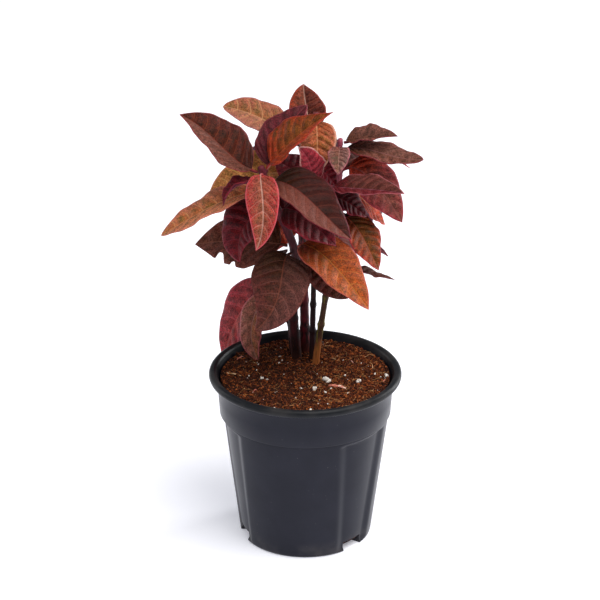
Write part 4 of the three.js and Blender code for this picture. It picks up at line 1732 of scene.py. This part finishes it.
@dataclass
class PottingMix:
    """Coir, crumbs, fibres and perlite that fill the pot to just under its lip.

    Args:
        pot: The pot that holds it.
        level: Height of its surface at the edge.
        mound: How much higher it is in the middle.
        grain: Height of its larger bumps.
        ripples: How closely its bumps follow each other, in radians per millimetre.
        clods: Height of its clods.
        clod_scale: How closely the clods follow each other.
        clod_noise: Roughness, steps in size and number of sizes of the clods.
        divisions: Squares across its surface.
        crumbs: The number of loose crumbs.
        crumb_least: Radius of the smallest crumb.
        crumb_range: How much larger the largest is.
        fibres: The number of loose fibres.
        fibre_least: Length of the shortest fibre.
        fibre_range: How much longer the longest is.
        fibre_radii: Radii of the thinnest and the thickest fibre.
        small_perlite: The number of small perlite grains.
        small_perlite_radii: Radii of the smallest and the largest of them.
        edge_radius: Radius of its surface.
        wall_gap: How far it keeps from the pot's wall.
        floor_gap: How far it keeps from the pot's floor.
        crumb_seed: Seed for the crumbs.
        fibre_seed: Seed for the fibres.
        perlite_seed: Seed for the perlite.
        litter_seed: Seed for the straw and the bark.
        pale_every: One fibre in this many is pale.
        to_the_right: The share of the fibres on the left that go to the right instead.
        perlite_lumps: Lumps in a large perlite grain.
        strand_steps: Points along a strand.
        strand_sides: Sides of a strand.
        strand_lift: How far over the surface a strand's middle lies.
        chip_slenderness: A bark chip's radius as a share of its length.
        large_perlite: Place and radius of each large perlite grain.
        chips: Place, bearing in radians and length of each bark chip.
    """

    pot: Pot
    level: float = 98.0
    mound: float = 1.2
    grain: float = 0.7
    ripples: tuple[float, float, float, float] = (0.83, 0.61, 0.77, 0.53)
    clods: float = 0.55
    clod_scale: float = 0.45
    clod_noise: tuple[float, float, int] = (0.7, 2.2, 4)
    divisions: int = 170
    crumbs: int = 5200
    crumb_least: float = 0.28
    crumb_range: float = 0.7
    fibres: int = 1300
    fibre_least: float = 2.5
    fibre_range: float = 8.0
    fibre_radii: tuple[float, float] = (0.06, 0.15)
    small_perlite: int = 46
    small_perlite_radii: tuple[float, float] = (0.22, 0.5)
    edge_radius: float = 48.4
    wall_gap: float = 0.455
    floor_gap: float = 0.35
    crumb_seed: int = 11
    fibre_seed: int = 23
    perlite_seed: int = 37
    litter_seed: int = 51
    pale_every: int = 4
    to_the_right: float = 0.4
    perlite_lumps: int = 7
    strand_steps: int = 7
    strand_sides: int = 4
    strand_lift: float = 0.15
    chip_slenderness: float = 0.1
    large_perlite: tuple[Point, ...] = (
        (12.3, -9.2, 2.3), (5.2, -20.8, 1.5), (30.5, -10.5, 1.5), (-24.6, -6.7, 1.1), (-21.7, -9.2, 0.9),
        (-14.6, 22.3, 0.8), (-15.1, 14.3, 0.8), (11.0, -24.5, 0.8), (24.0, -24.5, 0.8), (-2.4, -19.5, 0.6),
        (-17.5, -43.3, 0.9), (2.8, -45.5, 1.0), (20.5, -43.0, 0.9), (39.8, -0.2, 0.8), (46.3, -2.8, 1.3),
        (18.4, 23.6, 0.7), (22.6, -4.1, 0.6), (14.5, -20.0, 0.7),
    )
    chips: tuple[tuple[float, float, float, float], ...] = (
        (12.0, -16.0, -0.2, 11.0), (-40.0, 20.0, 0.5, 5.0), (44.0, -10.0, 1.2, 3.5),
        (-30.0, -24.0, 0.9, 4.0), (28.0, 14.0, 2.2, 4.0),
    )

    def height(self, x: float, y: float) -> float:
        """Works out the surface's height, with its bumps and clods.

        Args:
            x: The place, towards the right.
            y: The place, towards the back.

        Returns:
            The height above the ground.
        """
        reach = min(math.hypot(x, y) / self.edge_radius, 1.0)
        a, b, c, d = self.ripples
        bumps = math.sin(x * a + math.sin(y * b) * 2) * math.cos(y * c + math.sin(x * d) * 2)
        place = Vector((x * self.clod_scale, y * self.clod_scale, 3.0))
        clods = noise.fractal(place, *self.clod_noise) * self.clods
        return self.level + self.mound * (1 - reach**2) + bumps * self.grain * lerp(0.8, 0.4, reach) + clods

    def on_surface(self, x: float, y: float, above: float) -> np.ndarray:
        """The place at x and y, some way above the surface."""
        return np.array([x, y, self.height(x, y) + above])

    def disc(self) -> np.ndarray:
        """Presses a square grid of places into a disc.

        Returns:
            The places' x and y, by row and column.
        """
        steps = np.linspace(-1, 1, self.divisions + 1)
        x, y = np.meshgrid(steps, steps, indexing="ij")
        large = np.where(np.abs(x) > np.abs(y), x, y)
        with np.errstate(divide="ignore", invalid="ignore"):
            angle = np.where(np.abs(x) > np.abs(y), y / x * math.pi / 4, math.pi / 2 - x / y * math.pi / 4)
        angle = np.nan_to_num(angle)
        return np.stack([large * np.cos(angle), large * np.sin(angle)], axis=-1) * self.edge_radius

    def bed(self) -> None:
        """Makes the body of the mix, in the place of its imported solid."""
        flat = self.disc()
        heights = np.array([[self.height(x, y) for x, y in row] for row in flat])
        top = np.concatenate([flat, heights[..., None]], axis=-1)
        n = self.divisions + 1
        numbers = np.arange(n * n).reshape(n, n)
        rim = np.concatenate([numbers[0, :-1], numbers[:-1, -1], numbers[-1, :0:-1], numbers[:0:-1, 0]])
        points = [top.reshape(-1, 3)]
        corners = [numbers[:-1, :-1], numbers[1:, :-1], numbers[1:, 1:], numbers[:-1, 1:]]
        faces = [(np.stack(corners, axis=-1).reshape(-1, 4), 0)]
        edge = points[0][rim]
        bearing = np.degrees(np.arctan2(edge[:, 0], -edge[:, 1]))
        above, start = rim, n * n
        bottom = self.pot.floor + self.floor_gap
        for radius, z in self.pot.inside(self.wall_gap, bottom):
            points.append(on_bearing(bearing, radius - self.pot.flute(bearing, z), z))
            below = start + np.arange(len(rim))
            faces.append((np.stack([above, below, np.roll(below, -1), np.roll(above, -1)], axis=-1), 0))
            above, start = below, start + len(rim)
        points.append(np.array([[0.0, 0.0, bottom]]))
        faces.append((fan_faces(above, start, True), 0))
        body = Sheet(np.concatenate(points), faces, {})
        finish = GrainFinish("coir_bed", dark="0c0503", middle="3a180a", bright="7a3c1a", size=1.0, pale=0.2,
                             relief=0.5)
        enter(body.to_object("potting_mix", [finish.material()]), "soil", "soil")

    @staticmethod
    def lump(place: np.ndarray, radius: float, rough: float, rng: np.random.Generator) -> Sheet:
        """Makes a small rough lump.

        Args:
            place: Its middle.
            radius: Its usual radius.
            rough: How uneven it is.
            rng: The source of its shape.

        Returns:
            A closed body of twenty faces.
        """
        turned, _ = np.linalg.qr(rng.normal(size=(3, 3)))
        sizes = radius * (1 + rough * rng.uniform(-1, 1, (len(LUMP_CORNERS), 1)))
        stretch = rng.uniform(0.65, 1.35, 3)
        return Sheet(place + (LUMP_CORNERS * sizes * stretch) @ turned, [(LUMP_FACES, 0)], {})

    @staticmethod
    def scatter(rng: np.random.Generator, reach: float) -> tuple[float, float]:
        """Picks a place by chance.

        Args:
            rng: The source of the chance.
            reach: How far from the middle it may be.

        Returns:
            The place's x and y.
        """
        while True:
            x, y = rng.uniform(-reach, reach, 2)
            if math.hypot(x, y) < reach:
                return float(x), float(y)

    @staticmethod
    def add(sheets: list[Sheet], name: str, finish: GrainFinish) -> None:
        """Joins small bodies into one piece that belongs to the mix."""
        enter(gather(sheets).to_object(name, [finish.material()]), "soil")

    def crumb(self) -> None:
        """Strews loose crumbs all over the surface, most of them small."""
        rng = np.random.default_rng(self.crumb_seed)
        sheets = []
        for _ in range(self.crumbs):
            x, y = self.scatter(rng, self.edge_radius - 0.4)
            radius = self.crumb_least + self.crumb_range * rng.random() ** 3
            sheets.append(self.lump(self.on_surface(x, y, radius * 0.25), radius, 0.35, rng))
        finish = GrainFinish("coir_crumbs", dark="180804", middle="582812", bright="a4582a", size=1.8,
                             pale=0.25)
        self.add(sheets, "coir_crumbs", finish)

    def strand(
        self,
        start: tuple[float, float],
        bearing: float,
        length: float,
        radius: float,
        rng: np.random.Generator,
        lift: float = 0.5,
        bend: float = 1.2,
    ) -> Sheet:
        """Makes a fibre that lies on the surface, a little above it in places.

        Args:
            start: Where it starts.
            bearing: The way it runs, in radians.
            length: Its length.
            radius: Its thickness at its thickest, as a radius.
            rng: The source of its chances.
            lift: How far it may arch above the surface.
            bend: How far it may turn on its way, in radians.

        Returns:
            Its mesh.
        """
        steps = self.strand_steps
        share = np.linspace(0, 1, steps)
        turn = bearing + rng.uniform(-bend, bend) * share
        x = start[0] + np.cumsum(np.cos(turn)) * length / steps
        y = start[1] + np.cumsum(np.sin(turn)) * length / steps
        reach = np.hypot(x, y)
        pull = np.minimum(1.0, (self.edge_radius - 0.6) / np.maximum(reach, 1e-6))
        x, y = x * pull, y * pull
        ground = np.array([self.height(px, py) for px, py in zip(x, y)])
        arch = np.sin(share * math.pi) * lift * rng.uniform(0.2, 1.4)
        path = np.stack([x, y, ground + self.strand_lift + arch], axis=-1)
        return tube(path, radius * (1 - 0.5 * np.abs(share - 0.4)), self.strand_sides)

    def fibre(self) -> None:
        """Strews fine coir fibres, more of them on the right, and every fourth one pale."""
        rng = np.random.default_rng(self.fibre_seed)
        fine, pale = [], []
        for i in range(self.fibres):
            x, y = self.scatter(rng, self.edge_radius - 1.5)
            if x < 0 and rng.random() < self.to_the_right:
                x = -x
            length = self.fibre_least + self.fibre_range * rng.random() ** 2
            radius = rng.uniform(*self.fibre_radii)
            group = pale if i % self.pale_every == 0 else fine
            group.append(self.strand((x, y), rng.uniform(0, 2 * math.pi), length, radius, rng))
        brown = GrainFinish("coir_fibre", dark="44180a", middle="8c401c", bright="c8783c")
        self.add(fine, "coir_fibres", brown)
        blond = GrainFinish("pale_fibre", dark="8a5430", middle="c08850", bright="e0b080")
        self.add(pale, "pale_fibres", blond)

    def perlite(self) -> None:
        """Strews white perlite grains: the large ones by place, and small ones all over."""
        rng = np.random.default_rng(self.perlite_seed)
        sheets = []
        for x, y, radius in self.large_perlite:
            middle = self.on_surface(x, y, radius * 0.5)
            for _ in range(self.perlite_lumps):
                place = middle + rng.uniform(-0.5, 0.5, 3) * radius * (1.3, 1.3, 0.9)
                sheets.append(self.lump(place, radius * rng.uniform(0.4, 0.7), 0.2, rng))
        for _ in range(self.small_perlite):
            x, y = self.scatter(rng, self.edge_radius - 2)
            radius = rng.uniform(*self.small_perlite_radii)
            sheets.append(self.lump(self.on_surface(x, y, radius * 0.5), radius, 0.25, rng))
        finish = GrainFinish("perlite", dark="c8bcae", middle="f0e8de", bright="fffaf4", size=0.9, pale=0.4,
                             relief=0.12)
        self.add(sheets, "perlite_grains", finish)

    def litter(self) -> None:
        """Lays bits of straw and bark on the mix."""
        rng = np.random.default_rng(self.litter_seed)
        straws = [
            self.strand((-47.6, 4.2), -0.68, 13.0, 0.5, rng, 1.2, 0.3),
            self.strand((-12.0, -40.0), 0.3, 8.0, 0.3, rng, 0.4),
            self.strand((38.0, 4.0), 1.35, 13.0, 0.22, rng, 1.6),
            self.strand((33.0, 22.0), 0.2, 9.0, 0.2, rng, 1.0),
        ]
        straw = GrainFinish("straw", dark="a06c40", middle="cc9868", bright="ecc49c", size=2.5)
        self.add(straws, "straw_bits", straw)
        chips = []
        for x, y, bearing, length in self.chips:
            radius = length * self.chip_slenderness
            chips.append(self.strand((x, y), bearing, length, radius, rng, 0.6, 0.4))
        bark = GrainFinish("bark", dark="a85848", middle="d88470", bright="f0c4b0", size=2.0)
        self.add(chips, "bark_chips", bark)

    def build(self) -> None:
        """Makes the mix and everything on it."""
        self.bed()
        self.crumb()
        self.fibre()
        self.perlite()
        self.litter()


# The studio.


@dataclass(frozen=True)
class Softbox:
    """A rectangular lamp that faces the plant.

    Args:
        name: Its name.
        place: Where it stands, in metres.
        size: Its width and height, in metres.
        power: Its power in watts.
        tint: Its colour.
        aim: The place that it faces, in metres.
    """

    name: str
    place: Point
    size: tuple[float, float]
    power: float
    tint: Point = (1.0, 1.0, 1.0)
    aim: Point = (0.0, 0.0, 0.14)

    def build(self) -> None:
        """Hangs the lamp."""
        data = bpy.data.lights.new(self.name, "AREA")
        data.shape = "RECTANGLE"
        data.size, data.size_y = self.size
        data.energy = self.power
        data.color = self.tint
        lamp = bpy.data.objects.new(self.name, data)
        lamp.location = self.place
        lamp.rotation_euler = (Vector(self.aim) - Vector(self.place)).to_track_quat("-Z", "Y").to_euler()
        bpy.context.scene.collection.objects.link(lamp)
        LOG.info("lamp %s: %.0f W", self.name, self.power)


@dataclass
class Studio:
    """Camera, pale floor and soft light.

    Args:
        lens: Focal length for the sensor.
        sensor: Width of the sensor.
        distance: From the camera to the point that it looks at.
        pitch: Degrees that the camera looks down.
        target: The point that it looks at.
        floor_radius: How far the floor reaches.
        floor_drop: How far it lies under the pot.
        air: The colour of the light from all round.
        air_strength: Its strength.
        nearest: How near the camera sees, in metres.
        farthest: How far it sees, in metres.
        floor_sides: Sides of the floor.
        lamps: The lamps.
    """

    lens: float = 168.0
    sensor: float = 36.0
    distance: float = 1579.0
    pitch: float = 24.49
    target: Point = (-3.0, 0.0, 145.2)
    floor_radius: float = 9000.0
    floor_drop: float = 0.05
    air: Point = (0.93, 0.95, 1.0)
    air_strength: float = 0.31
    nearest: float = 0.05
    farthest: float = 60.0
    floor_sides: int = 96
    lamps: tuple[Softbox, ...] = (
        Softbox("key", (0.6, -0.6, 1.9), (1.8, 1.8), 49.0, (1.0, 0.98, 0.96)),
        Softbox("fill", (-1.7, -1.2, 1.3), (2.0, 2.0), 8.0, (0.95, 0.97, 1.0)),
        Softbox("right_strip", (1.1, 0.75, 0.5), (0.35, 1.0), 11.0),
        Softbox("left_strip", (-1.1, 0.6, 0.5), (0.35, 1.0), 4.0),
    )

    def camera(self) -> None:
        """Sets the camera up, level and without shift."""
        data = bpy.data.cameras.new("camera")
        data.lens = self.lens
        data.sensor_width = self.sensor
        data.clip_start, data.clip_end = self.nearest, self.farthest
        camera = bpy.data.objects.new("camera", data)
        pitch = math.radians(self.pitch)
        back = Vector((0.0, -math.cos(pitch), math.sin(pitch)))
        camera.location = (Vector(self.target) + back * self.distance) * METRES
        camera.rotation_euler = (math.pi / 2 - pitch, 0.0, 0.0)
        bpy.context.scene.collection.objects.link(camera)
        bpy.context.scene.camera = camera
        LOG.info("camera: %.0f mm away", self.distance)

    def floor(self) -> None:
        """Lays a wide pale floor under the pot."""
        bearing = np.linspace(0, 360, self.floor_sides, endpoint=False)
        ring = on_bearing(bearing, self.floor_radius, -self.floor_drop)
        points = np.concatenate([ring, [[0.0, 0.0, -self.floor_drop]]])
        faces = fan_faces(np.arange(self.floor_sides), self.floor_sides, False)
        piece = Sheet(points, [(faces, 0)], {}).to_object("floor", [FloorFinish().material()])
        LOG.info("floor: %.0f mm across", self.floor_radius * 2)

    def surroundings(self) -> None:
        """Lights the air all round."""
        world = bpy.data.worlds.new("studio_air")
        bpy.context.scene.world = world
        world.use_nodes = True
        background = world.node_tree.nodes["Background"]
        background.inputs["Color"].default_value = (*self.air, 1.0)
        background.inputs["Strength"].default_value = self.air_strength

    def build(self) -> None:
        """Sets up the camera, the floor and the lamps: soft light from the upper right, and side strips."""
        self.camera()
        self.floor()
        for lamp in self.lamps:
            lamp.build()
        self.surroundings()
        bpy.context.scene.view_settings.view_transform = "Standard"


def main() -> None:
    """Builds the plant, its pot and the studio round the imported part."""
    logging.basicConfig(level=logging.INFO, format="%(message)s")
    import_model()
    Studio().build()
    pot = Pot()
    pot.build()
    PottingMix(pot).build()
    for cane in make_canes():
        cane.build()


if __name__ == "__main__":
    main()
